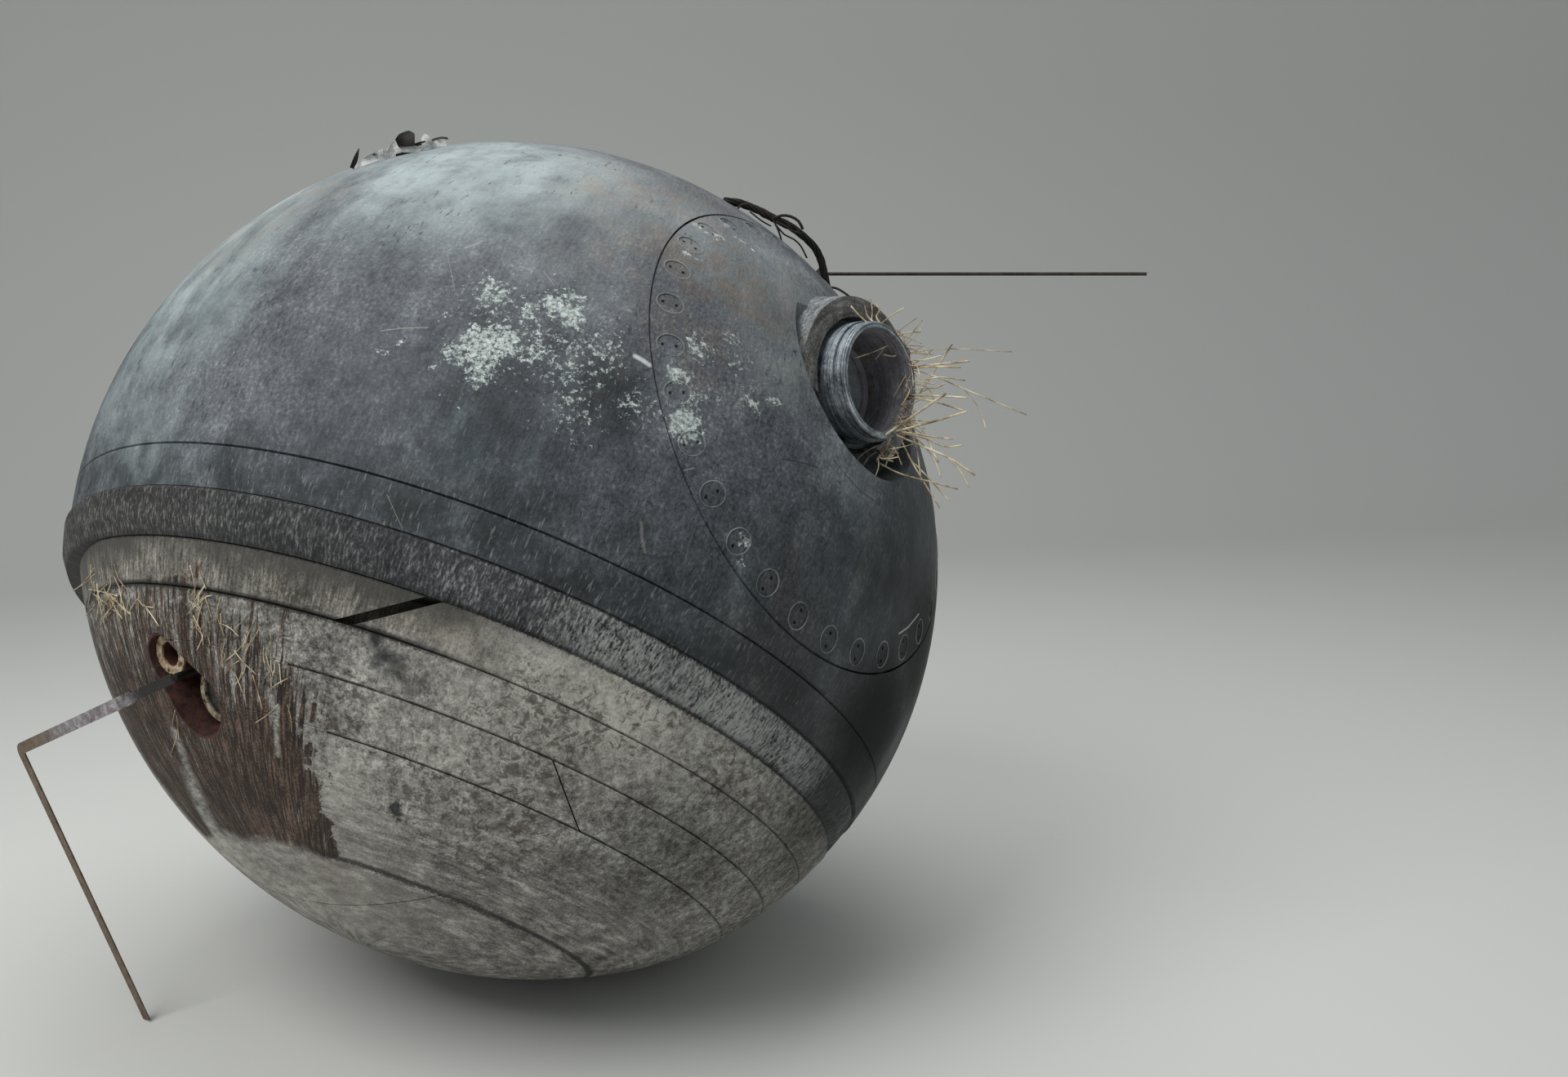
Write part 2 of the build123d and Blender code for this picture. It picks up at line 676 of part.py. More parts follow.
bay_base = station(bay_dir, bay_seat)
lug_base = Plane(
    origin=bay_base.origin + bay_base.x_dir * (cup_r - LUG_FROM_WALL),
    x_dir=bay_base.y_dir,
    z_dir=bay_dir,
)
lug_side = Plane(origin=lug_base.origin, x_dir=lug_base.x_dir, z_dir=lug_base.y_dir * -1.0)
with BuildPart() as riser_lug:
    with BuildSketch(lug_base):
        RectangleRounded(LUG_BASE_LENGTH, LUG_BASE_WIDTH, LUG_BASE_THICKNESS)
    extrude(amount=LUG_BASE_THICKNESS)
    with BuildSketch(lug_side):
        with Locations((0, LUG_HEIGHT / 2)):
            Rectangle(2 * LUG_R, LUG_HEIGHT)
        with Locations((0, LUG_HEIGHT)):
            Circle(LUG_R)
            Circle(LUG_BORE_R, mode=Mode.SUBTRACT)
    extrude(amount=LUG_THICKNESS / 2, both=True)
save(riser_lug, "riser_lug")

# Cable socket: a pear-shaped liner and two round connectors
socket_seat = SOCKET_FLOOR - SOCKET_DEPTH
with BuildPart() as socket_liner:
    add(socket_block(-SOCKET_DEPTH, SOCKET_GAP))
    add(socket_block(socket_seat, SOCKET_LINER), mode=Mode.SUBTRACT)
    add(ball_solid(socket_dir, BALL_R - SEAM_DEPTH), mode=Mode.INTERSECT)
    add(worn_ball, mode=Mode.INTERSECT)
save(socket_liner, "socket_liner")

for connector_name, connector_side, outer_r, bore_r, connector_height, core_height in CONNECTORS:
    connector_middle = (connector_side * CONNECTOR_SPACING / 2, 0)
    with BuildPart() as connector:
        with BuildSketch(socket_plane.offset(socket_seat)):
            with Locations(connector_middle):
                Circle(outer_r)
        extrude(amount=connector_height)
        with BuildSketch(socket_plane.offset(socket_seat + core_height)):
            with Locations(connector_middle):
                Circle(bore_r)
        extrude(amount=connector_height, mode=Mode.SUBTRACT)
    save(connector, "socket_connector_" + connector_name)

# Strip antenna: one flat strip, narrower at its root and folded over at its elbow
strip_leaves = ball_centre + STRIP_LEAVES_DIRECTION.normalized() * (BALL_R + STRIP_LEAVES_RISE)
strip_elbow = ball_centre + STRIP_ELBOW_DIRECTION.normalized() * (BALL_R + STRIP_ELBOW_RISE)
strip_tip = ball_centre + STRIP_TIP_DIRECTION.normalized() * (BALL_R - STRIP_TIP_INSET)
strip_tip = Vector(strip_tip.X, strip_tip.Y, STRIP_TIP_HEIGHT)
strip_points = [strip_leaves, strip_elbow, strip_tip]
stem_side = (CONNECTOR_UPPER_R - CONNECTOR_LOWER_R) / 2
stem_foot = socket_plane.from_local_coords(Vector(stem_side, 0, socket_seat))
stem_knee = stem_foot + socket_dir * STRIP_STEM_RISE
strip_normal = (strip_elbow - strip_leaves).cross(strip_tip - strip_elbow).normalized()
strip_run = (strip_elbow - strip_leaves).normalized()
strip_plane = Plane(origin=strip_elbow, x_dir=strip_run, z_dir=strip_normal)
strip_route = [strip_plane.to_local_coords(point) for point in strip_points]
strip_root_end = strip_route[0] + Vector(STRIP_ROOT_LENGTH, 0, 0)
with BuildPart() as strip_antenna:
    with BuildSketch(strip_plane):
        with BuildLine():
            Line(strip_route[0], strip_root_end)
        trace(line_width=STRIP_ROOT_WIDTH)
        with BuildLine():
            FilletPolyline(strip_root_end, *strip_route[1:], radius=STRIP_BEND_R)
        trace(line_width=STRIP_WIDTH)
    extrude(amount=STRIP_THICKNESS / 2, both=True)
    with BuildLine():
        stem_path = FilletPolyline(stem_foot, stem_knee, strip_points[0], radius=STRIP_STEM_BEND_R)
    with BuildSketch(Plane(origin=stem_foot, z_dir=socket_dir)):
        Circle(STRIP_STEM_R)
    sweep(path=stem_path)
save(strip_antenna, "strip_antenna")

# Rod antenna: a base with two cheeks, and the hinged rod between them
rod_normal = ROD_ROOT_DIRECTION.normalized()
rod_hinge_dir = rod_normal.cross(ROD_RIGHT).normalized()
rod_foot = ball_centre + rod_normal * BALL_R
rod_pivot = ball_centre + rod_normal * (BALL_R + ROD_PIVOT_HEIGHT)
rod_cheek_plane = Plane(origin=rod_pivot, x_dir=rod_normal, z_dir=rod_hinge_dir)
with BuildPart() as rod_base:
    with BuildSketch(Plane(origin=rod_foot - rod_normal * ROD_BASE_HEIGHT, z_dir=rod_normal)):
        Circle(ROD_BASE_R)
    extrude(amount=2 * ROD_BASE_HEIGHT)
    add(ball_solid(rod_normal), mode=Mode.SUBTRACT)
    for cheek_side in (-1, 1):
        cheek_start = cheek_side * (ROD_CHEEK_GAP + ROD_CHEEK_THICKNESS) / 2
        with BuildSketch(rod_cheek_plane.offset(cheek_start)):
            Circle(ROD_CHEEK_R)
            with Locations((-ROD_PIVOT_HEIGHT / 2 + ROD_BASE_HEIGHT / 4, 0)):
                Rectangle(ROD_PIVOT_HEIGHT - ROD_BASE_HEIGHT / 2, 2 * ROD_CHEEK_R)
            Circle(ROD_PIN_R, mode=Mode.SUBTRACT)
        extrude(amount=ROD_CHEEK_THICKNESS / 2, both=True)
save(rod_base, "rod_base")

with BuildPart() as rod_antenna:
    with BuildSketch(rod_cheek_plane):
        Circle(ROD_HUB_R)
    extrude(amount=ROD_HUB_WIDTH / 2, both=True)
    with BuildSketch(rod_cheek_plane):
        Circle(ROD_PIN_R - ROD_PIN_PLAY)
    extrude(amount=ROD_CHEEK_GAP / 2 + ROD_CHEEK_THICKNESS, both=True)
    with BuildSketch(Plane(origin=rod_pivot, z_dir=ROD_RIGHT)):
        Circle(ROD_R)
    extrude(amount=ROD_LENGTH)
save(rod_antenna, "rod_antenna")

# Charred cable bundle: straight runs joined by the largest arcs that fit
bundle_points = [ball_centre + Vector(*point) for point in BUNDLE_ROUTE]


def bend_radii(points):
    """For each corner, 0.45 of the shorter run over the tangent of half the turn."""
    radii = []
    for before, corner, after in zip(points, points[1:], points[2:]):
        run_in, run_out = corner - before, after - corner
        half_turn = radians(run_in.get_angle(run_out)) / 2
        radii.append(0.45 * min(run_in.length, run_out.length) * cos(half_turn) / sin(half_turn))
    return radii


bundle_radii = bend_radii(bundle_points)
with BuildPart() as cable_bundle:
    with BuildLine():
        bundle_path = FilletPolyline(*bundle_points, radius=bundle_radii)
    with BuildSketch(Plane(origin=bundle_path @ 0, z_dir=bundle_path % 0)):
        Circle(BUNDLE_R)
    sweep(path=bundle_path)
    bundle_ratio = cable_bundle.part.volume / (pi * BUNDLE_R**2 * bundle_path.length)
    add(ball_solid(Vector(0, 0, 1)), mode=Mode.SUBTRACT)
save(cable_bundle, "cable_bundle")
print("bundle radii", [round(value) for value in bundle_radii])
print("bundle length", round(bundle_path.length), "volume ratio", round(bundle_ratio, 3))

# Torn insulation: thick tufts that stand on the crown
torn_plane = Plane(
    origin=ball_centre + Vector(0, -TORN_BACK, BALL_R), x_dir=(1, 0, 0), z_dir=(0, -1, 0)
)
with BuildPart() as torn_insulation:
    with BuildSketch(torn_plane):
        for outline in TORN_OUTLINES:
            with BuildLine():
                Polyline(*outline, close=True)
            make_face()
    extrude(amount=TORN_THICKNESS / 2, both=True)
    add(ball_solid(Vector(0, 0, 1)), mode=Mode.SUBTRACT)
save(torn_insulation, "torn_insulation")

# Heavy equipment as one block against the cabin wall
block_dir = BLOCK_DIRECTION.normalized()
with BuildPart() as equipment_block:
    with BuildSketch(station(block_dir, cabin_r - BLOCK_HEIGHT)):
        Rectangle(BLOCK_LENGTH, BLOCK_WIDTH)
    extrude(amount=BLOCK_HEIGHT + SHELL_WALL)
    cabin_centre = ball_centre + crown_dir * CABIN_RISE
    add(ball_solid(block_dir, cabin_r - BLOCK_GAP, cabin_centre), mode=Mode.INTERSECT)
save(equipment_block, "equipment_block")
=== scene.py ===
import bpy
import json
import math
import random
from mathutils import Matrix, Vector, noise


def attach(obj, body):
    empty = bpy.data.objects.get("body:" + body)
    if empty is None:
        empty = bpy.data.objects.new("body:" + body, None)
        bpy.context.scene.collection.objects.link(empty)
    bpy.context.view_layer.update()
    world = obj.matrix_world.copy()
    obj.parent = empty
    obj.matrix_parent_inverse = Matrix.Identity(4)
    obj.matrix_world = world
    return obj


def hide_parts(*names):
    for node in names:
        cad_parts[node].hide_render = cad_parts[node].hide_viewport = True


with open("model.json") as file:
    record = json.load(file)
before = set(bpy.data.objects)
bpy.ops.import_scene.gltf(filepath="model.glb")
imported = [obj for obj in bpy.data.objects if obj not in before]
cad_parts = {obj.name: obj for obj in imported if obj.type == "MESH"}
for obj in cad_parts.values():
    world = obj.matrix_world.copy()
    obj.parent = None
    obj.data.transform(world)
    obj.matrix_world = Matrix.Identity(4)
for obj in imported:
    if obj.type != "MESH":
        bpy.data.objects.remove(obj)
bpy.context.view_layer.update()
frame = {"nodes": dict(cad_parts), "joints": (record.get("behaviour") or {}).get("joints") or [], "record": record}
nodes = frame["nodes"]
record = frame["record"]

# The ball and the worn ball inside it, in metres
BALL_CENTRE = Vector((-0.1003, 0.0063, 1.0920))
BALL_R = 1.150
WORN_CENTRE = Vector((0.0, 0.0, 1.2045))
WORN_R = 1.213

# Seams of the heat shield: their distance below the ball's centre, along the shield axis
SEAM_B = 0.405
SEAM_C = 0.501
SEAM_D = 0.595
SEAM_E = 0.692
SEAM_F = 0.786
SEAM_G = 0.980

# Directions, from the frame's joints and mounts
joint_axes = {joint["name"]: Vector(joint["axis"]) for joint in frame["joints"]}
mounts = {mount["name"]: mount for mount in record["mounts"]}
FRONT = joint_axes["front_hatch_lift"].normalized()
CREW = joint_axes["crew_hatch_lift"].normalized()
CROWN = (FRONT + CREW).normalized()
PORT = Vector(mounts["port_bore"]["axis"]).normalized()
PORT_MIDDLE = Vector(mounts["port_bore"]["pos_m"])

# The circle of bolt plugs on each hatch, and the cable socket's frame, as in the part's source
PLUG_COUNT = 30
PLUG_TURN = 7.4
PLUG_CIRCLE_R = 0.561
PLUG_R = 0.028
SOCKET = Vector((-0.6573, -0.7502, -0.0712)).normalized()
SOCKET_RISE = 1.1362
CONNECTOR_UPPER_RIM = SOCKET_RISE - 0.022
CONNECTOR_LOWER_RIM = SOCKET_RISE - 0.070

# The camera: the photograph's own place and lens
CAMERA_PLACE = Vector((-0.1003, -4.2210, 1.7403))
CAMERA_RIGHT = Vector((0.98440559, -0.17487561, -0.01908265))
CAMERA_DOWN = Vector((-0.0427671, -0.13268787, -0.99023477))
CAMERA_FORWARD = Vector((0.17063588, 0.97560876, -0.13809761))
CAMERA_LENS = 34.69
SENSOR_WIDTH = 36.0
PHOTO_WIDTH = 1920.0
PHOTO_HEIGHT = 1319.0
PIXELS_PER_SLOPE = CAMERA_LENS / SENSOR_WIDTH * PHOTO_WIDTH


def sight_line(x, y):
    """The direction from the camera through a pixel of the photograph, one long along the view."""
    right = (x - PHOTO_WIDTH / 2) / PIXELS_PER_SLOPE
    down = (y - PHOTO_HEIGHT / 2) / PIXELS_PER_SLOPE
    return CAMERA_FORWARD + CAMERA_RIGHT * right + CAMERA_DOWN * down


def crossings(start, ray, sunk=0.0):
    """How far along a ray it enters and leaves the ball, and then the worn ball, both sunk inwards."""
    pairs = []
    for centre, radius in ((BALL_CENTRE, BALL_R), (WORN_CENTRE, WORN_R)):
        offset = start - centre
        half = ray.dot(offset)
        root = math.sqrt(max(half * half - offset.dot(offset) + (radius - sunk) ** 2, 0.0))
        pairs.append((-half - root, root - half))
    return pairs


def seen_at(x, y):
    """The point of the shell that shows at a pixel of the photograph."""
    ray = sight_line(x, y).normalized()
    return CAMERA_PLACE + ray * max(near for near, far in crossings(CAMERA_PLACE, ray))


def at_depth(x, y, depth):
    """The point at a pixel of the photograph, a distance ahead of the camera."""
    return CAMERA_PLACE + sight_line(x, y) * depth


def srgb(red, green, blue):
    """A linear colour from red, green and blue between 0 and 255."""
    def linear(value):
        value = value / 255.0
        return value / 12.92 if value <= 0.04045 else ((value + 0.055) / 1.055) ** 2.4
    return (linear(red), linear(green), linear(blue), 1.0)


def plug_frame(direction):
    """The two directions across a hatch from which its plugs are counted."""
    side = CROWN.cross(direction).normalized()
    return side.cross(direction), side


# The noise that makes the edges of painted patches ragged: its scale, and its reach in metres
RAGGED_SCALE = 11.0
RAGGED_REACH = 0.10

# The heights along a hatch's direction between which its plug rims fade in, in metres
RIMS_FROM = 0.85
RIMS_FULL = 0.90


class Finish:
    """One material's node tree. Most calls add nodes and return an output."""

    def __init__(self, name):
        self.material = bpy.data.materials.new(name)
        self.material.use_nodes = True
        self.tree = self.material.node_tree
        self.place = self.node("ShaderNodeTexCoord", {}, "Object")
        self.ragged = None
        self.colour = None

    def feed(self, socket, value):
        if isinstance(value, bpy.types.NodeSocket):
            self.tree.links.new(value, socket)
        else:
            socket.default_value = value

    def node(self, kind, inputs, output=0, **settings):
        """Add a node, feed its inputs and return one of its outputs."""
        node = self.tree.nodes.new(kind)
        for key, value in settings.items():
            setattr(node, key, value)
        for key, value in inputs.items():
            self.feed(node.inputs[key], value)
        return node.outputs[output]

    def math(self, operation, first, second=0.0):
        return self.node("ShaderNodeMath", {0: first, 1: second}, operation=operation)

    def vector(self, operation, first, second=(0.0, 0.0, 0.0)):
        output = "Value" if operation in ("DOT_PRODUCT", "LENGTH", "DISTANCE") else "Vector"
        return self.node("ShaderNodeVectorMath", {0: first, 1: second}, output, operation=operation)

    def scaled(self, vector, scale):
        return self.node("ShaderNodeVectorMath", {0: vector, "Scale": scale}, operation="SCALE")

    def noise(self, scale, detail, rough, bend=0.0, at=None, output="Fac"):
        """Noise at the place, or at other coordinates."""
        inputs = {
            "Vector": self.place if at is None else at, "Scale": scale, "Detail": detail,
            "Roughness": rough, "Distortion": bend,
        }
        return self.node("ShaderNodeTexNoise", inputs, output)

    def streaks(self, across, along, detail, rough, bend=0.0):
        """Noise that is stretched from pole to pole of the shield axis."""
        return self.noise(1.0, detail, rough, bend, self.along_meridians(across, along))

    def fit(self, value, low, high, to_low=0.0, to_high=1.0, smooth=False):
        """A value between low and high, moved to the range from to_low to to_high."""
        inputs = dict(enumerate((value, low, high, to_low, to_high)))
        kind = "SMOOTHSTEP" if smooth else "LINEAR"
        return self.node("ShaderNodeMapRange", inputs, "Result", interpolation_type=kind)

    def mix(self, amount, first, second, blend="MIX"):
        inputs = {0: amount, 6: first, 7: second}
        return self.node("ShaderNodeMix", inputs, 2, data_type="RGBA", blend_type=blend)

    def ramp(self, value, *stops):
        """Colours by a value, each stop (position, red, green, blue)."""
        node = self.tree.nodes.new("ShaderNodeValToRGB")
        self.feed(node.inputs[0], value)
        points = node.color_ramp.elements
        while len(points) < len(stops):
            points.new(0.5)
        for point, (position, *colour) in zip(points, stops):
            point.position = position
            point.color = srgb(*colour)
        return node.outputs["Color"]

    def paint(self, amount, colour, blend="MIX"):
        """Lay (red, green, blue) or a texture over the colour so far."""
        over = srgb(*colour) if isinstance(colour, tuple) else colour
        self.colour = self.mix(amount, self.colour, over, blend)

    def tint(self, amount, colour):
        """Multiply the colour so far by (red, green, blue)."""
        self.paint(amount, colour, "MULTIPLY")

    def bump(self, height, distance, strength):
        inputs = {"Height": height, "Distance": distance, "Strength": strength}
        return self.node("ShaderNodeBump", inputs, "Normal")

    def fold(self, operation, values):
        """Several values joined by one operation."""
        total, *others = values
        for value in others:
            total = self.math(operation, total, value)
        return total

    def product(self, *values):
        return self.fold("MULTIPLY", values)

    def total(self, *values):
        return self.fold("ADD", values)

    def highest(self, *values):
        return self.fold("MAXIMUM", values)

    def inverse(self, value):
        """1 less a value."""
        return self.math("SUBTRACT", 1.0, value)

    def blend(self, *parts):
        """The weighted sum of several textures, each (value, weight)."""
        return self.total(*(self.product(*part) for part in parts))

    def wobble(self, value, reach):
        """A texture between 0 and 1, moved to between -reach and reach."""
        return self.product(self.math("SUBTRACT", value, 0.5), 2 * reach)

    def span(self, first, second):
        """The root of the sum of two squares."""
        return self.math("SQRT", self.blend((first, first), (second, second)))

    def ragged_place(self):
        """The place, shifted about by noise, so that patches get ragged edges."""
        if self.ragged is None:
            colour = self.noise(RAGGED_SCALE, 6.0, 0.7, output="Color")
            shift = self.vector("SUBTRACT", colour, (0.5, 0.5, 0.5))
            shift = self.scaled(shift, RAGGED_REACH)
            self.ragged = self.vector("ADD", self.place, shift)
        return self.ragged

    def patches(self, spots, depth=None):
        """The highest of several patches, each (x, y, radius, edge, weight).

        x and y are pixels of the photograph, where the shell shows or else at a depth;
        radius and edge are in metres.
        """
        masks = []
        for x, y, radius, edge, weight in spots:
            middle = seen_at(x, y) if depth is None else at_depth(x, y, depth)
            distance = self.vector("DISTANCE", self.ragged_place(), middle)
            masks.append(self.fit(distance, radius + edge, radius - edge, 0.0, weight, smooth=True))
        return self.highest(*masks)

    def line(self, pixels, half_width):
        """1 on a thin line through pixels of the photograph, falling to 0 at its edges."""
        masks = []
        points = [seen_at(x, y) for x, y in pixels]
        for start, end in zip(points, points[1:]):
            span = end - start
            offset = self.vector("SUBTRACT", self.place, start)
            share = self.vector("DOT_PRODUCT", offset, span / span.length_squared)
            nearest = self.scaled(span, self.fit(share, 0.0, 1.0))
            distance = self.vector("DISTANCE", offset, nearest)
            masks.append(self.fit(distance, half_width * 1.5, half_width * 0.5))
        return self.highest(*masks)

    def scratches(self, lines, colour):
        """Paint thin lines, each (pixels of the photograph, half width in metres, weight)."""
        for pixels, half_width, weight in lines:
            self.paint(self.product(self.line(pixels, half_width), weight), colour)

    def from_centre(self):
        return self.vector("SUBTRACT", self.place, BALL_CENTRE)

    def rise(self, direction):
        """How far the place lies from the ball's centre along a direction."""
        return self.vector("DOT_PRODUCT", self.from_centre(), direction)

    def depth_below(self):
        """How far the place lies from the ball's centre towards the shield's pole."""
        return self.rise(-CROWN)

    def turn(self):
        """The angle about the shield axis, in degrees: 0 towards the port."""
        angle = self.math("ARCTAN2", self.rise(CROWN.cross(PORT)), self.rise(PORT))
        return self.product(angle, math.degrees(1.0))

    def along_meridians(self, across, along):
        """Coordinates that stretch a texture from pole to pole of the shield axis."""
        lift = self.scaled(CROWN, self.rise(CROWN))
        flat = self.vector("NORMALIZE", self.vector("SUBTRACT", self.from_centre(), lift))
        around = self.scaled(flat, across)
        return self.vector("ADD", around, self.scaled(lift, along))

    def from_port(self):
        """The place along the port's axis from its middle, and the distance from the axis."""
        offset = self.vector("SUBTRACT", self.place, PORT_MIDDLE)
        axial = self.vector("DOT_PRODUCT", offset, PORT)
        centred = self.vector("SUBTRACT", offset, self.scaled(PORT, axial))
        return axial, self.vector("LENGTH", centred)

    def around_port(self, across, along):
        """Coordinates that stretch a texture into circles round the port's axis."""
        axial, radial = self.from_port()
        inputs = {0: self.product(axial, across), 1: self.product(radial, across)}
        flat = self.node("ShaderNodeCombineXYZ", inputs)
        return self.vector("ADD", flat, self.scaled(self.place, along))

    def plug_rims(self, direction, half_width):
        """1 on the circles where the bolt plugs of a hatch meet its lid."""
        away, side = plug_frame(direction)
        east = self.rise(away)
        north = self.rise(side)
        step = 2 * math.pi / PLUG_COUNT
        start = math.radians(PLUG_TURN) + step / 2
        angle = self.math("SUBTRACT", self.math("ARCTAN2", north, east), start)
        angle = self.math("SUBTRACT", self.math("FLOORED_MODULO", angle, step), step / 2)
        reach = self.span(east, north)
        across = self.product(reach, self.math("SINE", angle))
        along = self.product(reach, self.math("COSINE", angle))
        radius = self.span(across, self.math("SUBTRACT", along, PLUG_CIRCLE_R))
        gap = self.math("ABSOLUTE", self.math("SUBTRACT", radius, PLUG_R))
        near = self.fit(self.rise(direction), RIMS_FROM, RIMS_FULL)
        return self.product(self.fit(gap, half_width, half_width * 0.4), near)

    def near_seam(self, seam, half_width, wobble):
        """1 beside a seam, given by its depth below the centre."""
        depth = self.total(self.depth_below(), wobble)
        gap = self.math("ABSOLUTE", self.math("SUBTRACT", depth, seam))
        return self.fit(gap, half_width, half_width * 0.5)

    def done(self, rough, normal=None, metal=0.0):
        """Give the shader its colour, roughness, metal and bumps, and return the material."""
        inputs = self.tree.nodes["Principled BSDF"].inputs
        self.feed(inputs["Base Color"], self.colour)
        self.feed(inputs["Roughness"], rough)
        self.feed(inputs["Metallic"], metal)
        if normal is not None:
            self.feed(inputs["Normal"], normal)
        return self.material


# White flakes on the charred shell: x, y, radius, edge, share of the surface that is white
FLAKE_SPOTS = (
    (592, 424, 0.056, 0.040, 0.98),
    (610, 418, 0.044, 0.034, 0.98),
    (562, 432, 0.034, 0.030, 0.88),
    (588, 456, 0.030, 0.026, 1.00),
    (608, 360, 0.050, 0.045, 0.70),
    (648, 380, 0.026, 0.024, 0.90),
    (682, 376, 0.038, 0.030, 0.92),
    (700, 390, 0.034, 0.028, 0.98),
    (704, 364, 0.030, 0.028, 0.78),
    (650, 425, 0.060, 0.050, 0.66),
    (690, 440, 0.090, 0.070, 0.52),
    (735, 430, 0.070, 0.065, 0.56),
    (700, 500, 0.070, 0.065, 0.46),
    (630, 390, 0.150, 0.090, 0.34),
    (785, 500, 0.050, 0.050, 0.55),
    (466, 430, 0.016, 0.012, 0.80),
    (497, 418, 0.012, 0.010, 0.75),
    (530, 446, 0.012, 0.010, 0.85),
    (540, 386, 0.016, 0.014, 0.60),
    (556, 486, 0.030, 0.026, 0.35),
    (832, 458, 0.030, 0.024, 0.95),
    (856, 428, 0.030, 0.024, 0.80),
    (838, 518, 0.044, 0.028, 0.95),
    (856, 490, 0.030, 0.026, 0.70),
    (895, 417, 0.020, 0.016, 0.60),
    (905, 450, 0.050, 0.045, 0.40),
    (918, 492, 0.034, 0.028, 0.62),
    (949, 492, 0.018, 0.014, 0.90),
    (880, 490, 0.026, 0.024, 0.45),
    (854, 276, 0.014, 0.010, 0.95),
    (876, 289, 0.034, 0.024, 0.60),
    (911, 297, 0.012, 0.009, 1.00),
    (920, 307, 0.009, 0.007, 0.90),
    (837, 309, 0.012, 0.010, 0.80),
    (850, 316, 0.011, 0.009, 0.85),
    (912, 661, 0.016, 0.012, 0.90),
    (905, 684, 0.014, 0.012, 0.60),
    (888, 276, 0.020, 0.016, 0.60),
)
# Pale haze and painted sheen, brown and dark stains, and painted shade on the charred shell, as the flakes are
# given
PALE_HAZE_AND_SHEEN_SPOTS = (
    (560, 200, 0.30, 0.22, 0.84),
    (680, 215, 0.24, 0.20, 0.80),
    (400, 205, 0.22, 0.20, 0.58),
    (310, 270, 0.26, 0.22, 1.00),
    (230, 360, 0.24, 0.20, 0.85),
    (150, 470, 0.16, 0.16, 0.50),
    (170, 560, 0.16, 0.14, 0.45),
    (810, 250, 0.16, 0.14, 0.55),
    (920, 330, 0.20, 0.14, 0.45),
    (970, 440, 0.12, 0.10, 0.40),
    (700, 330, 0.14, 0.12, 0.22),
)
BROWN_SPOTS = (
    (745, 480, 0.07, 0.06, 0.9),
    (880, 340, 0.24, 0.18, 1.0),
    (850, 410, 0.14, 0.12, 0.7),
    (830, 240, 0.20, 0.16, 0.8),
    (770, 300, 0.16, 0.14, 0.6),
    (965, 735, 0.11, 0.08, 0.8),
    (930, 800, 0.10, 0.08, 0.6),
    (300, 290, 0.14, 0.12, 0.6),
    (380, 240, 0.12, 0.10, 0.7),
    (740, 235, 0.10, 0.08, 0.8),
    (640, 870, 0.10, 0.08, 0.5),
)
DARK_AND_SHADE_SPOTS = (
    (745, 490, 0.11, 0.07, 1.00),
    (590, 560, 0.26, 0.22, 1.00),
    (480, 500, 0.22, 0.20, 0.55),
    (700, 520, 0.18, 0.16, 0.80),
    (500, 600, 0.16, 0.14, 0.70),
    (730, 650, 0.20, 0.18, 0.60),
    (860, 770, 0.22, 0.18, 0.80),
    (960, 640, 0.24, 0.20, 0.35),
    (1070, 710, 0.26, 0.20, 0.80),
    (300, 590, 0.12, 0.10, 0.60),
    (560, 600, 0.12, 0.10, 0.40),
)
SHADE_SPOTS = (
    (1125, 800, 0.28, 0.24, 0.90),
    (1070, 890, 0.28, 0.22, 1.00),
    (960, 890, 0.20, 0.20, 0.55),
    (1138, 660, 0.16, 0.16, 0.60),
    (1080, 710, 0.14, 0.12, 0.55),
)
# Scratches: photo pixels along each, half width in metres, weight
SCRATCHES_PALE = (
    (((466, 405), (492, 402), (525, 401)), 0.0010, 0.50),
    (((547, 308), (553, 336), (557, 356)), 0.0009, 0.25),
    (((666, 332), (679, 350)), 0.0010, 0.42),
    (((785, 640), (786, 658), (790, 676)), 0.0034, 0.22),
    (((1101, 776), (1112, 768), (1125, 752)), 0.0022, 0.95),
    (((570, 303), (580, 300), (590, 295)), 0.0022, 0.40),
    (((838, 576), (850, 573)), 0.0010, 0.50),
    (((474, 606), (492, 646)), 0.0008, 0.35),
)
SCRATCHES_DARK = (
    (((957, 562), (980, 566), (1001, 573)), 0.0014, 0.8),
    (((1021, 563), (1036, 582), (1054, 602), (1077, 618)), 0.0016, 0.7),
    (((793, 614), (798, 617)), 0.0022, 0.8),
    (((790, 679), (806, 683), (822, 682)), 0.0030, 0.35),
    (((979, 822), (992, 838), (1010, 850)), 0.0050, 0.7),
)
WHITE_BAR = ((778, 436), (787, 441), (795, 447))
WHITE_BAR_HALF_WIDTH = 0.0052
PLUG_RIM_HALF_WIDTH = 0.0022


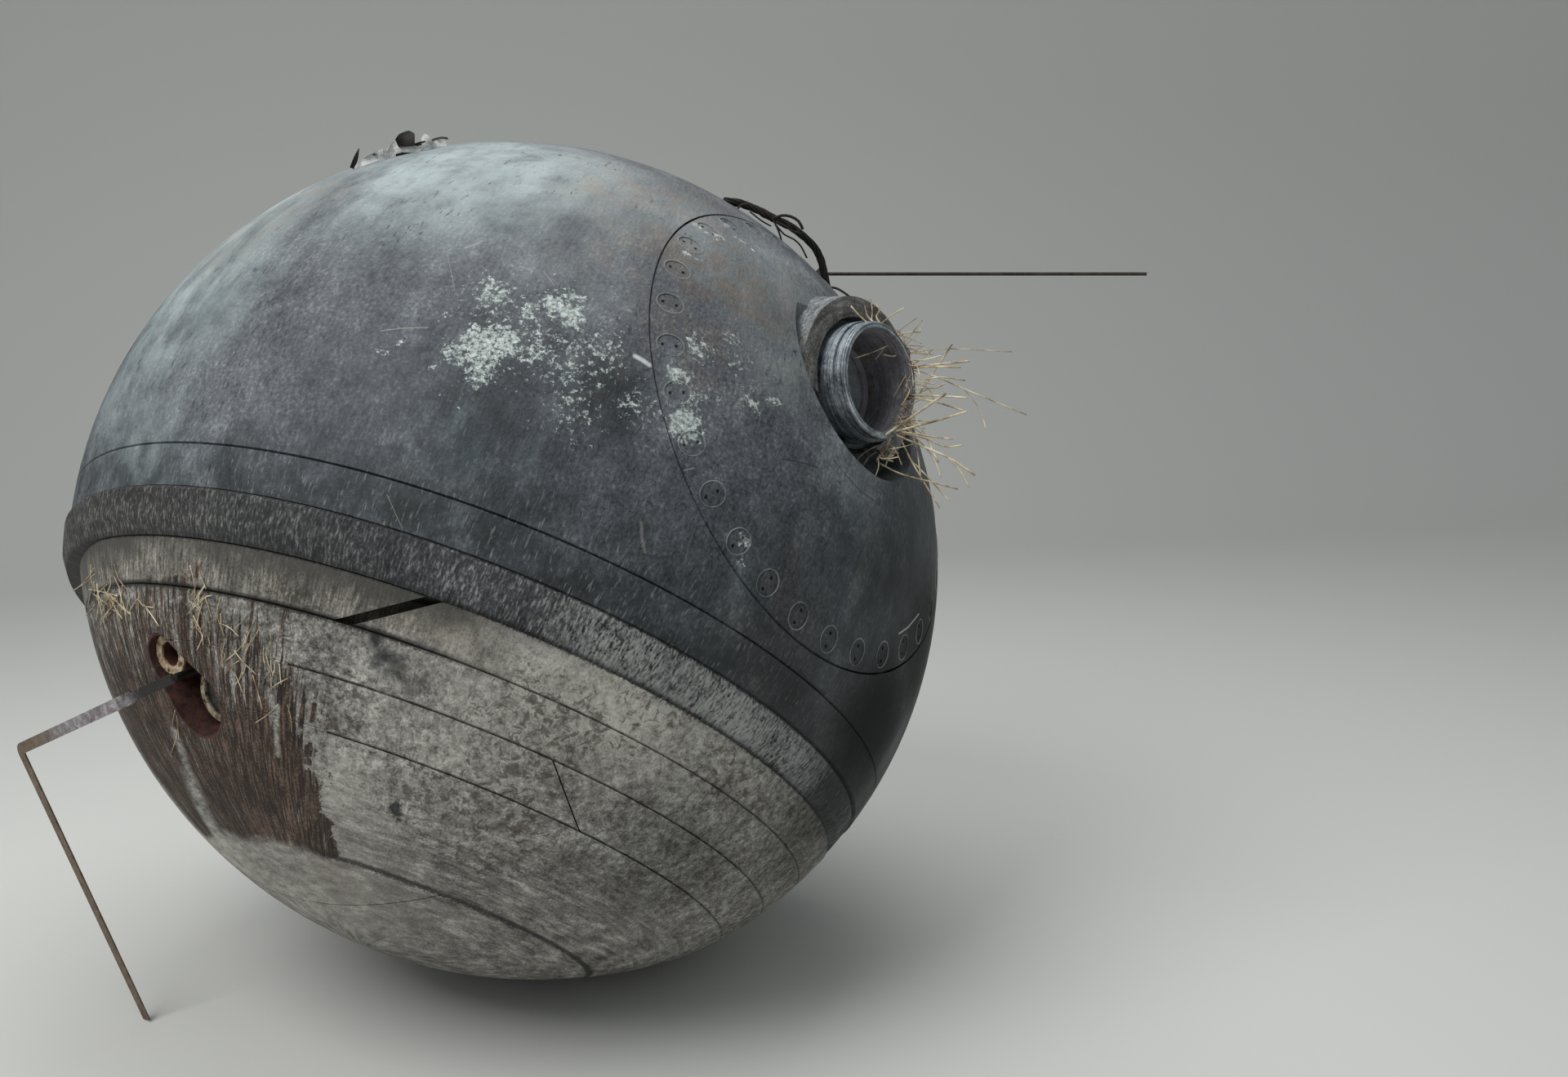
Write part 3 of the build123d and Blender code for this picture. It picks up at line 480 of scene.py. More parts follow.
def charred_shell():
    """Burnt ablator of the crown and the lids: grey char with dashes, pits, stains, flakes, painted sheen and
    painted shade.
    """
    f = Finish("charred_shell")
    depth = f.depth_below()
    grain = f.noise(118.0, 5.0, 0.74)
    dashes = f.streaks(150.0, 36.0, 3.0, 0.6)
    mottle = f.noise(12.0, 6.0, 0.64)
    soft = f.noise(3.2, 4.0, 0.5)
    # The flow along the meridians fades out near the crown's pole, where it would form rays
    flow = f.streaks(9.0, 2.4, 6.0, 0.62)
    flow = f.mix(f.fit(depth, -0.50, -0.85), flow, f.noise(4.6, 6.0, 0.6))
    tone = f.blend((grain, 0.40), (dashes, 0.14), (mottle, 0.18), (flow, 0.16), (soft, 0.12))
    f.colour = f.ramp(
        tone, (0.41, 40, 43, 47), (0.475, 76, 80, 86), (0.53, 98, 102, 108), (0.60, 144, 148, 150),
    )
    # Pale haze on the crown and a painted sky sheen on its upper left; thinner haze where the soft noise is high
    broken = f.fit(f.blend((mottle, 0.5), (flow, 0.5)), 0.38, 0.56, 0.35, 1.0)
    pale = f.product(f.patches(PALE_HAZE_AND_SHEEN_SPOTS), broken)
    haze = f.fit(f.blend((soft, 0.4), (flow, 0.6)), 0.53, 0.66, 0.0, 0.24)
    f.paint(f.product(f.highest(pale, haze), 0.82), (176, 190, 190))
    # Brown stains, the darker greener middle with painted shade on the lower right, and darker lower down
    f.tint(f.product(f.patches(BROWN_SPOTS), f.fit(mottle, 0.40, 0.56)), (220, 200, 186))
    dark = f.highest(f.patches(DARK_AND_SHADE_SPOTS), f.fit(soft, 0.46, 0.32, 0.0, 0.5))
    f.tint(f.product(dark, f.fit(mottle, 0.62, 0.42, 0.65, 1.0)), (136, 152, 156))
    # Painted shade on the lower right side
    shade = f.patches(SHADE_SPOTS)
    f.tint(shade, (30, 40, 34))
    f.tint(f.product(f.fit(depth, 0.22, 0.36), f.fit(mottle, 0.62, 0.40, 0.5, 1.0)), (158, 162, 162))
    # Fine pale dashes that thicken towards the heat shield
    short = f.fit(f.streaks(210.0, 40.0, 2.0, 0.5), 0.60, 0.72)
    f.paint(f.product(short, f.fit(depth, 0.02, 0.40), 0.55, f.inverse(shade)), (140, 142, 142))
    # Dark pits and dashes in loose groups
    pits = f.fit(f.streaks(80.0, 26.0, 4.0, 0.75), 0.585, 0.64)
    f.paint(f.product(pits, f.fit(f.noise(7.0, 3.0, 0.6), 0.46, 0.62), 0.8), (28, 28, 30))
    # White flakes: the more of them, the higher the patch's share
    area = f.patches(FLAKE_SPOTS)
    speck = f.noise(76.0, 7.0, 0.76)
    flakes = f.fit(f.total(speck, f.product(area, 0.255)), 0.655, 0.690)
    flakes = f.product(flakes, f.fit(area, 0.02, 0.10), f.fit(grain, 0.36, 0.46, 0.45, 1.0))
    stray = f.product(f.fit(speck, 0.735, 0.755), 0.5)
    white = f.ramp(grain, (0.38, 112, 120, 118), (0.50, 166, 176, 172), (0.62, 214, 222, 215))
    f.paint(f.highest(flakes, stray), white)
    # The rims of the bolt plugs, worn pale here and there
    for direction in (FRONT, CREW):
        rims = f.plug_rims(direction, PLUG_RIM_HALF_WIDTH)
        f.paint(f.product(rims, f.fit(mottle, 0.38, 0.58, 0.15, 0.75)), (150, 154, 152))
    f.scratches(SCRATCHES_PALE, (186, 182, 170))
    bar = f.line(WHITE_BAR, WHITE_BAR_HALF_WIDTH)
    f.paint(f.product(bar, f.fit(mottle, 0.38, 0.52, 0.45, 0.9)), (206, 212, 210))
    f.scratches(SCRATCHES_DARK, (20, 20, 22))
    height = f.blend((grain, 0.55), (dashes, 0.40), (mottle, 0.8), (speck, 0.4))
    rough = f.highest(f.fit(grain, 0.3, 0.7, 0.50, 0.80), f.product(shade, 0.95))
    return f.done(rough, f.bump(height, 0.004, 0.85))


# Pale, lit and shaded patches of the band
BAND_PALE_SPOTS = (
    (760, 790, 0.16, 0.12, 1.0),
    (820, 850, 0.18, 0.14, 1.0),
    (900, 920, 0.12, 0.12, 0.8),
)
BAND_LIFT_SPOTS = (
    (770, 790, 0.14, 0.10, 0.9),
    (880, 890, 0.18, 0.14, 1.0),
    (950, 940, 0.12, 0.10, 0.9),
)
BAND_SHADE_SPOTS = (
    (430, 665, 0.16, 0.14, 0.3),
    (1030, 970, 0.12, 0.10, 0.9),
)


def charred_band():
    """The proud band: dark brown-grey char with many short pale dashes."""
    f = Finish("charred_band")
    grain = f.noise(160.0, 4.0, 0.7)
    short = f.streaks(200.0, 62.0, 3.0, 0.6)
    runs = f.streaks(60.0, 12.0, 5.0, 0.65)
    tone = f.blend((grain, 0.28), (short, 0.36), (runs, 0.16), (f.noise(10.0, 5.0, 0.6), 0.20))
    f.colour = f.ramp(
        tone, (0.41, 24, 25, 27), (0.48, 50, 52, 55), (0.54, 76, 79, 81), (0.61, 132, 134, 132),
    )
    # Browner on the worn side
    f.tint(f.fit(f.turn(), -45.0, -85.0), (222, 210, 198))
    # Painted light on the lit patches of the band
    lift = f.product(f.patches(BAND_LIFT_SPOTS), f.fit(tone, 0.42, 0.54), 0.85)
    f.paint(lift, (158, 160, 158))
    pale = f.fit(f.patches(BAND_PALE_SPOTS), 0.0, 1.0, 0.25, 0.8)
    f.paint(f.product(f.fit(short, 0.53, 0.66), pale), (164, 163, 156))
    # Painted shade on the shaded patches of the band
    f.tint(f.patches(BAND_SHADE_SPOTS), (92, 100, 96))
    wobble = f.wobble(grain, 0.01)
    edges = f.highest(f.near_seam(SEAM_B, 0.006, wobble), f.near_seam(SEAM_C, 0.009, wobble))
    f.paint(f.product(edges, 0.6), (22, 22, 22))
    height = f.blend((short, 0.8), (grain, 0.4), (runs, 0.6))
    return f.done(0.78, f.bump(height, 0.004, 0.9))


# The mud: depths below the centre, turns about the shield axis in degrees, and how far its right
# border leans, in degrees for each metre of depth from where it starts
MUD_TOP = 0.590
MUD_BOTTOM = 0.992
MUD_LEFT_TURN = -109.0
MUD_RIGHT_TURN = -60.6
MUD_RIGHT_LEAN = 27.7
MUD_RIGHT_START = 0.521
# Bare strips where the mud has rubbed off: photo pixels, half width in metres
MUD_GAPS = (
    (((215, 898), (226, 930), (240, 965)), 0.014),
    (((233, 955), (250, 995), (275, 1035)), 0.030),
    (((340, 866), (338, 895), (340, 925)), 0.006),
)
# The turns between which the worn half of the upper ring begins
WORN_FROM_TURN = -28.0
WORN_FULL_TURN = -40.0
# Warm patches, pale patches with painted light, and shaded, dirty and stained patches of the heat shield
WARM_SPOTS = (
    (700, 790, 0.26, 0.22, 0.7),
    (420, 1090, 0.20, 0.16, 0.8),
    (300, 1060, 0.14, 0.10, 0.6),
)
ABLATOR_PALE_AND_LIT_SPOTS = (
    (780, 845, 0.18, 0.14, 1.0),
    (610, 780, 0.12, 0.10, 0.6),
    (700, 800, 0.16, 0.14, 0.4),
    (900, 940, 0.16, 0.14, 0.6),
    (255, 1025, 0.16, 0.08, 1.0),
    (560, 900, 0.20, 0.18, 0.4),
    (420, 960, 0.12, 0.12, 0.5),
    (360, 1100, 0.20, 0.14, 0.6),
)
ABLATOR_SHADE_SPOTS = (
    (1010, 1000, 0.20, 0.16, 0.7),
    (840, 1050, 0.20, 0.18, 0.45),
)
DIRT_SPOTS = (
    (700, 890, 0.09, 0.07, 0.9),
    (640, 938, 0.07, 0.05, 0.9),
    (640, 870, 0.10, 0.08, 0.7),
    (800, 870, 0.12, 0.10, 0.5),
    (520, 960, 0.10, 0.08, 0.6),
    (600, 1010, 0.16, 0.12, 0.7),
    (360, 740, 0.07, 0.06, 0.8),
    (420, 850, 0.08, 0.07, 0.5),
    (900, 960, 0.14, 0.12, 0.6),
)
STAIN_SPOTS = (
    (464, 784, 0.020, 0.014, 1.00),
    (472, 806, 0.024, 0.016, 1.00),
    (482, 822, 0.024, 0.018, 0.80),
    (500, 842, 0.020, 0.018, 0.50),
    (510, 838, 0.012, 0.009, 0.80),
    (545, 735, 0.040, 0.030, 0.55),
    (486, 988, 0.020, 0.007, 1.00),
    (491, 1003, 0.009, 0.005, 1.00),
    (490, 726, 0.030, 0.022, 0.85),
    (375, 712, 0.030, 0.026, 0.50),
)


def worn_ablator():
    """The worn heat shield: pale fibrous ablator with dirt and stains, and mud on its left side."""
    f = Finish("worn_ablator")
    depth = f.depth_below()
    turn = f.turn()
    grain = f.noise(190.0, 4.0, 0.72)
    coarse = f.noise(60.0, 5.0, 0.7)
    mottle = f.noise(11.0, 6.0, 0.66)
    short = f.streaks(150.0, 26.0, 3.0, 0.6)
    fibres = f.streaks(10.0, 130.0, 5.0, 0.62, 0.4)
    # Streaks run down the ring under the band, and fibres lie along the lower rings
    upper = f.fit(depth, 0.62, 0.56)
    streaked = f.mix(f.product(upper, f.fit(turn, -30.0, -52.0)), coarse, short)
    streaked = f.mix(f.product(f.fit(depth, 0.80, 0.90), 0.8), streaked, fibres)
    tone = f.blend((grain, 0.30), (streaked, 0.45), (mottle, 0.25))
    f.colour = f.ramp(
        tone, (0.40, 56, 53, 49), (0.47, 108, 105, 100), (0.53, 142, 140, 134), (0.60, 194, 191, 184),
    )
    # Warm, smoother ablator to the right of the scarf and at the shield's pole
    f.paint(f.product(f.patches(WARM_SPOTS), 0.5), (160, 152, 144))
    # Paler ablator in patches, and painted light of the floor's bounce on the lower left
    lift = f.product(f.patches(ABLATOR_PALE_AND_LIT_SPOTS), f.fit(tone, 0.42, 0.54, 0.3, 1.0), 0.65)
    f.paint(lift, (204, 202, 192))
    # Brown dirt in small blots, and dark stains
    area = f.patches(DIRT_SPOTS)
    dirt = f.fit(f.total(f.noise(46.0, 5.0, 0.72, 0.8), f.product(area, 0.16)), 0.60, 0.68)
    f.paint(f.product(dirt, 0.72, f.fit(area, 0.0, 0.3, 0.35, 1.0)), (70, 60, 50))
    f.paint(f.product(f.patches(STAIN_SPOTS), f.fit(grain, 0.30, 0.50, 0.7, 1.0)), (44, 47, 48))
    # The band's char runs down over the worn ring's upper edge
    worn = f.fit(turn, WORN_FROM_TURN, WORN_FULL_TURN)
    veil = f.fit(f.total(depth, f.fit(mottle, 0.3, 0.7, -0.03, 0.03)), 0.57, 0.505)
    f.paint(f.product(veil, worn, 0.85), (82, 82, 80))
    f.tint(f.product(upper, worn), (214, 210, 204))
    # Painted shade and soot under the edge of the band, and the shaded side towards the right
    shade_and_soot = f.product(f.fit(depth, 0.535, 0.505), f.fit(turn, -50.0, -30.0), f.fit(mottle, 0.40, 0.60))
    f.paint(f.product(shade_and_soot, 0.35), (66, 68, 70))
    f.tint(f.patches(ABLATOR_SHADE_SPOTS), (110, 112, 108))
    # Mud: solid low down, torn into vertical runs at its top and right
    wander = f.noise(9.0, 6.0, 0.72)
    slant = f.product(f.math("SUBTRACT", depth, MUD_RIGHT_START), MUD_RIGHT_LEAN)
    border = f.total(slant, MUD_RIGHT_TURN, f.fit(wander, 0.3, 0.7, -5.0, 5.0))
    inside = f.math("SUBTRACT", border, turn)
    low_edge = f.total(depth, f.fit(wander, 0.3, 0.7, -0.01, 0.01))
    high_edge = f.total(depth, f.fit(wander, 0.3, 0.7, -0.07, 0.07))
    mud = f.product(
        f.fit(inside, -0.3, 0.5), f.fit(turn, MUD_LEFT_TURN - 8.0, MUD_LEFT_TURN),
        f.fit(low_edge, MUD_BOTTOM, MUD_BOTTOM - 0.012), f.fit(high_edge, MUD_TOP, MUD_TOP + 0.02),
    )
    near_border = f.product(f.fit(inside, 16.0, 2.0), f.fit(depth, 0.88, 0.70))
    torn = f.blend((near_border, 0.09), (f.fit(depth, 0.82, 0.62), 0.12))
    bare = f.fit(f.total(f.streaks(75.0, 8.0, 6.0, 0.72), torn), 0.605, 0.640)
    gaps = f.highest(*(f.line(pixels, half_width) for pixels, half_width in MUD_GAPS))
    mud = f.product(mud, f.inverse(f.product(bare, 0.9)), f.inverse(gaps))
    mud_tone = f.blend((grain, 0.34), (short, 0.46), (mottle, 0.20))
    f.paint(mud, f.ramp(mud_tone, (0.41, 25, 19, 15), (0.50, 54, 41, 33), (0.59, 112, 93, 79)))
    # Dark joints: along the band, at the pole's cap, and under the worn half
    wobble = f.wobble(grain, 0.008)
    pole_seam = f.product(f.near_seam(SEAM_G, 0.005, wobble), f.fit(turn, -60.0, -50.0))
    worn_seam = f.product(f.near_seam(SEAM_D, 0.009, wobble), f.fit(turn, -30.0, -45.0))
    seams = f.highest(f.near_seam(SEAM_C, 0.006, wobble), pole_seam, worn_seam)
    f.paint(f.product(seams, 0.85), (26, 25, 24))
    height = f.blend((coarse, 0.5), (short, 0.4), (grain, 0.45), (mottle, 0.5))
    return f.done(0.88, f.bump(height, 0.005, 0.9))


def plain_metal(name, dark, light, rough, metal=1.0, scale=30.0):
    """A worn metal whose colour and roughness wander between two values."""
    f = Finish(name)
    wear = f.noise(scale, 6.0, 0.65)
    tone = f.blend((wear, 0.7), (f.noise(scale * 8.0, 4.0, 0.7), 0.3))
    f.colour = f.ramp(tone, (0.38, *dark), (0.62, *light))
    return f.done(f.fit(wear, 0.3, 0.7, rough - 0.1, rough + 0.15), f.bump(tone, 0.002, 0.5), metal)


# The port's barrel: a dark foot on its left, and bare metal with a painted highlight on its upper left, as photo
# pixels, radius, edge and weight at one depth from the camera, and its bore, in metres
BARREL_DEPTH = 3.70
BARREL_DARK_FOOT = (
    (1002, 490, 0.030, 0.014, 1.0),
    (1011, 514, 0.030, 0.014, 1.0),
    (1026, 540, 0.030, 0.014, 1.0),
    (1046, 560, 0.028, 0.014, 1.0),
    (1068, 574, 0.026, 0.014, 1.0),
)
BARREL_WORN_AND_HIGHLIGHT = (
    (1032, 430, 0.075, 0.060, 1.0),
    (1018, 480, 0.060, 0.050, 0.8),
    (1052, 402, 0.050, 0.040, 0.8),
    (1028, 530, 0.040, 0.040, 0.35),
)
BARREL_BORE_R = 0.1300
BARREL_ROOT = -0.020


def port_steel():
    """The port's burnt barrel and rings: dark steel with circular streaks; on its upper left, wear and a painted
    highlight.
    """
    f = Finish("port_steel")
    streaks = f.noise(1.0, 4.0, 0.6, at=f.around_port(230.0, 3.0))
    grain = f.noise(130.0, 4.0, 0.7)
    tone = f.blend((streaks, 0.45), (grain, 0.25), (f.noise(22.0, 5.0, 0.65), 0.30))
    f.colour = f.ramp(
        tone, (0.40, 50, 54, 59), (0.47, 100, 106, 112), (0.54, 144, 151, 157), (0.61, 200, 207, 210),
    )
    # Bare worn metal on the upper left, with a painted highlight
    worn = f.product(f.patches(BARREL_WORN_AND_HIGHLIGHT, BARREL_DEPTH), f.fit(tone, 0.42, 0.54), 0.8)
    f.paint(worn, (150, 166, 172))
    # A purple-grey bore, and dark outside it at its root and along its left foot
    axial, radial = f.from_port()
    inside = f.fit(radial, BARREL_BORE_R, BARREL_BORE_R - 0.0015)
    f.paint(f.product(inside, 0.6), (158, 146, 154))
    root = f.product(f.fit(axial, BARREL_ROOT, BARREL_ROOT - 0.020), f.inverse(inside))
    f.paint(f.highest(root, f.patches(BARREL_DARK_FOOT, BARREL_DEPTH)), (14, 16, 20))
    chips = f.fit(f.noise(60.0, 4.0, 0.7), 0.36, 0.32)
    f.paint(f.product(chips, 0.8), (22, 23, 25))
    return f.done(f.fit(grain, 0.3, 0.7, 0.35, 0.62), f.bump(tone, 0.0025, 0.8), 0.35)


# The hood's front face, from the middle of the port's bore along the port's axis
HOOD_FACE = -0.006


def charred_hood():
    """The charred collar over the port: streaky pale grey, with a brown burnt face."""
    f = Finish("charred_hood")
    streaks = f.noise(1.0, 5.0, 0.65, at=f.around_port(70.0, 14.0))
    mottle = f.noise(20.0, 5.0, 0.65)
    tone = f.blend((streaks, 0.40), (f.noise(160.0, 4.0, 0.7), 0.28), (mottle, 0.32))
    f.colour = f.ramp(
        tone, (0.40, 52, 54, 57), (0.48, 98, 101, 104), (0.54, 126, 131, 133), (0.61, 172, 178, 178),
    )
    axial, _ = f.from_port()
    face = f.fit(f.total(axial, f.wobble(mottle, 0.01)), HOOD_FACE - 0.012, HOOD_FACE)
    burnt = f.ramp(tone, (0.40, 54, 51, 47), (0.50, 98, 94, 88), (0.60, 144, 140, 134))
    f.paint(f.product(face, 0.8), burnt)
    return f.done(0.78, f.bump(tone, 0.004, 0.9))


def connector(name, rim, paint, core_dark, core_light):
    """A cable connector: a flaking painted rim round a dark core."""
    f = Finish(name)
    grime = f.noise(70.0, 6.0, 0.7)
    tone = f.blend((grime, 0.6), (f.noise(260.0, 3.0, 0.6), 0.4))
    f.colour = f.ramp(tone, (0.40, *core_dark), (0.60, *core_light))
    front = f.product(f.fit(f.rise(SOCKET), rim - 0.007, rim - 0.003), f.fit(grime, 0.34, 0.44), 0.92)
    f.paint(front, f.mix(f.fit(grime, 0.42, 0.60), srgb(140, 112, 88), srgb(*paint)))
    return f.done(0.72, f.bump(tone, 0.002, 0.7))


def strip_steel():
    """The strip antenna: burnt dark at its root, scoured grey along its middle, dirty brown below."""
    f = Finish("strip_steel")
    distance = f.vector("DISTANCE", f.place, BALL_CENTRE + SOCKET * SOCKET_RISE)
    wear = f.noise(42.0, 6.0, 0.7)
    tone = f.blend((wear, 0.6), (f.noise(240.0, 4.0, 0.7), 0.4))
    reach = f.total(distance, f.wobble(wear, 0.08))
    f.colour = f.ramp(tone, (0.38, 12, 10, 9), (0.62, 46, 39, 37))
    bare = f.ramp(tone, (0.38, 90, 82, 84), (0.50, 146, 139, 143), (0.62, 198, 195, 199))
    f.paint(f.fit(reach, 0.10, 0.21), bare)
    f.paint(f.fit(reach, 0.46, 0.62), f.ramp(tone, (0.38, 74, 58, 46), (0.62, 140, 122, 104)))
    return f.done(f.fit(wear, 0.3, 0.7, 0.42, 0.7), f.bump(tone, 0.0025, 0.7), 0.45)


# Plain metals, cable, lining and glass: dark, light, roughness, metal, scale of the wear
PLAIN_METALS = {
    "frame_alloy": ((108, 109, 108), (168, 168, 166), 0.45),
    "burnt_steel": ((58, 64, 70), (120, 126, 130), 0.4),
    "rod_steel": ((26, 22, 20), (70, 60, 54), 0.6, 0.3),
    "rusty_steel": ((34, 22, 20), (96, 60, 50), 0.8, 0.1, 40.0),
    "port_glass": ((88, 92, 94), (140, 146, 150), 0.45, 0.0),
    "charred_cable": ((16, 14, 13), (44, 38, 34), 0.8, 0.0),
    "torn_lining": ((150, 152, 150), (225, 226, 222), 0.6, 0.0),
    "equipment": ((70, 76, 72), (98, 104, 98), 0.5, 0.0),
}

# The two connectors: the height of the rim above the ball's centre, paint, dark and light core
CONNECTORS = {
    "connector_upper": (CONNECTOR_UPPER_RIM, (204, 182, 152), (44, 24, 20), (88, 46, 38)),
    "connector_lower": (CONNECTOR_LOWER_RIM, (212, 204, 180), (46, 48, 44), (90, 92, 86)),
}

# Nodes whose look is their own, where others of the same slot look different
NODE_LOOKS = {
    "front_hatch_plugs": "charred_shell",
    "crew_hatch_plugs": "charred_shell",
    "port_hood": "charred_hood",
    "port_retainer": "port_steel",
    "port_flange": "port_steel",
    "port_clamp_ring": "port_steel",
    "port_barrel": "port_steel",
    "socket_connector_upper": "connector_upper",
    "socket_connector_lower": "connector_lower",
    "rod_base": "rod_steel",
    "rod_antenna": "rod_steel",
}

# Each look by its name: the record's material slots, and the looks of single nodes
materials = {
    look.__name__: look()
    for look in (charred_shell, charred_hood, charred_band, worn_ablator, port_steel, strip_steel)
}
materials.update({name: plain_metal(name, *look) for name, look in PLAIN_METALS.items()})
materials.update({name: connector(name, *look) for name, look in CONNECTORS.items()})
for subpart in record["subparts"]:
    look = NODE_LOOKS.get(subpart["node"], subpart["material_slot"])
    for material_slot in nodes[subpart["node"]].material_slots:
        material_slot.material = materials[look]


# The charred cable bundle beside the front hatch: its route in metres, close to the part's own
BUNDLE_ROUTE = (
    (0.4657, -0.1697, 2.0760),
    (0.4997, -0.1597, 2.0740),
    (0.5337, -0.1497, 2.0640),
    (0.5677, -0.1477, 2.0500),
    (0.6017, -0.1427, 2.0310),
    (0.6477, -0.1317, 2.0130),
    (0.6817, -0.1217, 1.9890),
    (0.7117, -0.1017, 1.9680),
    (0.7377, -0.0857, 1.9360),
    (0.7497, -0.0737, 1.9000),
    (0.7577, -0.0657, 1.8680),
    (0.7657, -0.0537, 1.8370),
)
BUNDLE_DIAMETER = 0.022
STRAND_R = 0.0036
STRAND_COUNT = 7
STRAND_TURNS = 2.4
STRAND_WANDER = 0.0012
STRAND_SIDES = 8
WIRE_SIDES = 6
PIXEL_LINE_STEPS = 9

# Wires that hang out of the bundle: photo pixels, start depth, end depth, radius
FRAYED_WIRES = (
    (((946, 268), (953, 282), (957, 295)), 4.05, 4.06, 0.0026),
    (((949, 274), (960, 287), (972, 293), (981, 302), (988, 316)), 4.05, 4.10, 0.0024),
    (((945, 268), (957, 264), (968, 265), (978, 271), (983, 281)), 4.05, 4.07, 0.0040),
    (((950, 272), (962, 277), (970, 283), (982, 286)), 4.05, 4.07, 0.0030),
    (((918, 259), (932, 270), (944, 277)), 4.02, 4.04, 0.0022),
    (((1016, 352), (1024, 353), (1033, 358), (1041, 364)), 4.18, 4.16, 0.0034),
    (((903, 256), (908, 251), (916, 250)), 4.00, 4.01, 0.0030),
)

# Straws caught in the port: photo pixels, start depth, end depth, radius
PORT_STRAWS = (
    (((1079, 536), (1120, 508), (1158, 482)), 3.69, 3.60, 0.0032),
    (((1094, 529), (1140, 517), (1184, 504)), 3.72, 3.62, 0.0028),
    (((1126, 482), (1146, 452), (1166, 421)), 3.80, 3.76, 0.0024),
    (((1112, 449), (1150, 446), (1187, 442)), 3.80, 3.72, 0.0026),
    (((1110, 452), (1140, 449), (1176, 450)), 3.80, 3.70, 0.0024),
    (((1116, 448), (1130, 438), (1144, 426)), 3.80, 3.80, 0.0018),
    (((1112, 452), (1140, 459), (1180, 476), (1257, 508)), 3.80, 3.70, 0.0016),
    (((1112, 478), (1132, 475), (1146, 475), (1157, 470)), 3.79, 3.72, 0.0022),
    (((1108, 484), (1150, 485), (1184, 487)), 3.78, 3.70, 0.0024),
    (((1108, 486), (1145, 492), (1180, 503)), 3.78, 3.70, 0.0024),
    (((1180, 476), (1194, 492), (1204, 514), (1207, 526)), 3.75, 3.72, 0.0014),
    (((1110, 500), (1128, 524), (1149, 566)), 3.76, 3.66, 0.0022),
    (((1100, 528), (1130, 533), (1166, 538)), 3.72, 3.62, 0.0024),
    (((1100, 530), (1134, 537), (1157, 547), (1178, 545)), 3.72, 3.62, 0.0022),
    (((1096, 532), (1126, 545), (1161, 560), (1194, 582)), 3.72, 3.62, 0.0026),
    (((1161, 560), (1176, 577), (1187, 597)), 3.64, 3.62, 0.0020),
    (((1073, 564), (1082, 552), (1090, 537)), 3.72, 3.70, 0.0022),
    (((1073, 565), (1102, 580), (1140, 590), (1173, 599)), 3.74, 3.66, 0.0022),
    (((1104, 540), (1122, 575), (1151, 622)), 3.74, 3.68, 0.0022),
    (((1112, 560), (1132, 580), (1163, 614)), 3.74, 3.68, 0.0020),
    (((1047, 568), (1056, 556), (1075, 545)), 3.76, 3.72, 0.0020),
    (((1055, 574), (1062, 562), (1072, 554)), 3.76, 3.72, 0.0018),
    (((1084, 571), (1088, 560), (1095, 548)), 3.74, 3.70, 0.0020),
    (((1108, 485), (1112, 460), (1114, 432)), 3.80, 3.79, 0.0020),
    (((1104, 500), (1109, 478), (1113, 456)), 3.79, 3.79, 0.0018),
    (((1094, 486), (1102, 472), (1111, 456)), 3.80, 3.79, 0.0014),
    (((1042, 375), (1052, 386), (1066, 399)), 3.70, 3.69, 0.0022),
    (((1059, 375), (1063, 388), (1073, 397)), 3.72, 3.70, 0.0020),
    (((1078, 397), (1092, 386), (1107, 377)), 3.72, 3.70, 0.0018),
    (((1066, 366), (1068, 380), (1067, 394)), 3.73, 3.71, 0.0016),
    (((1048, 438), (1072, 430), (1102, 415)), 3.72, 3.79, 0.0018),
    (((1082, 434), (1094, 436), (1113, 431)), 3.78, 3.79, 0.0024),
    (((1098, 404), (1106, 412), (1108, 424), (1114, 430)), 3.78, 3.80, 0.0024),
    (((1072, 372), (1077, 380), (1073, 388), (1079, 397)), 3.73, 3.71, 0.0022),
    (((1112, 470), (1150, 462), (1182, 466)), 3.79, 3.72, 0.0018),
    (((1110, 512), (1122, 548), (1128, 590)), 3.76, 3.70, 0.0018),
    (((1106, 520), (1140, 556), (1152, 584)), 3.74, 3.68, 0.0018),
    (((1116, 432), (1160, 427), (1240, 431)), 3.80, 3.74, 0.0012),
)
STRAW_SIDES = 5
TANGLE_COUNT = 46
# The tangle starts on the port's right rim, which comes nearer to the camera below its middle.
# Headings are in radians in the picture, reaches and bends in pixels, depths and radii in metres
TANGLE_DEPTH = 3.79
TANGLE_DRIFT = (-0.07, 0.02)
TANGLE_MIDDLE = 480
TANGLE_LEAN = 0.07 / 60
TANGLE_HEADING = (0.35, 0.8)
TANGLE_REACH = (14.0, 44.0)
TANGLE_BEND = 7.0
TANGLE_ROOT = 3.0
TANGLE_R = (0.0009, 0.0018)
TANGLE_RIM = ((1086, 402), (1104, 420), (1113, 450), (1111, 482), (1102, 510), (1090, 530), (1078, 560))

# Straws stuck in the mud of the worn side: photo pixels of the patch's middle, its half size, count
MUD_STRAWS = (
    (132, 712, 20, 24, 26),
    (150, 735, 30, 14, 14),
    (243, 712, 12, 26, 14),
    (258, 760, 20, 36, 14),
    (312, 790, 26, 44, 18),
    (345, 850, 22, 50, 6),
    (212, 880, 12, 14, 3),
)
MUD_STRAW_STEPS = 7
MUD_STRAW_HEADING = (math.pi / 2, 0.5)
MUD_STRAW_REACH = (12.0, 40.0)
MUD_STRAW_SHAKE = (-2.0, 2.0)
MUD_STRAW_LIFT = (0.001, 0.006)
MUD_STRAW_R = (0.0006, 0.0014)

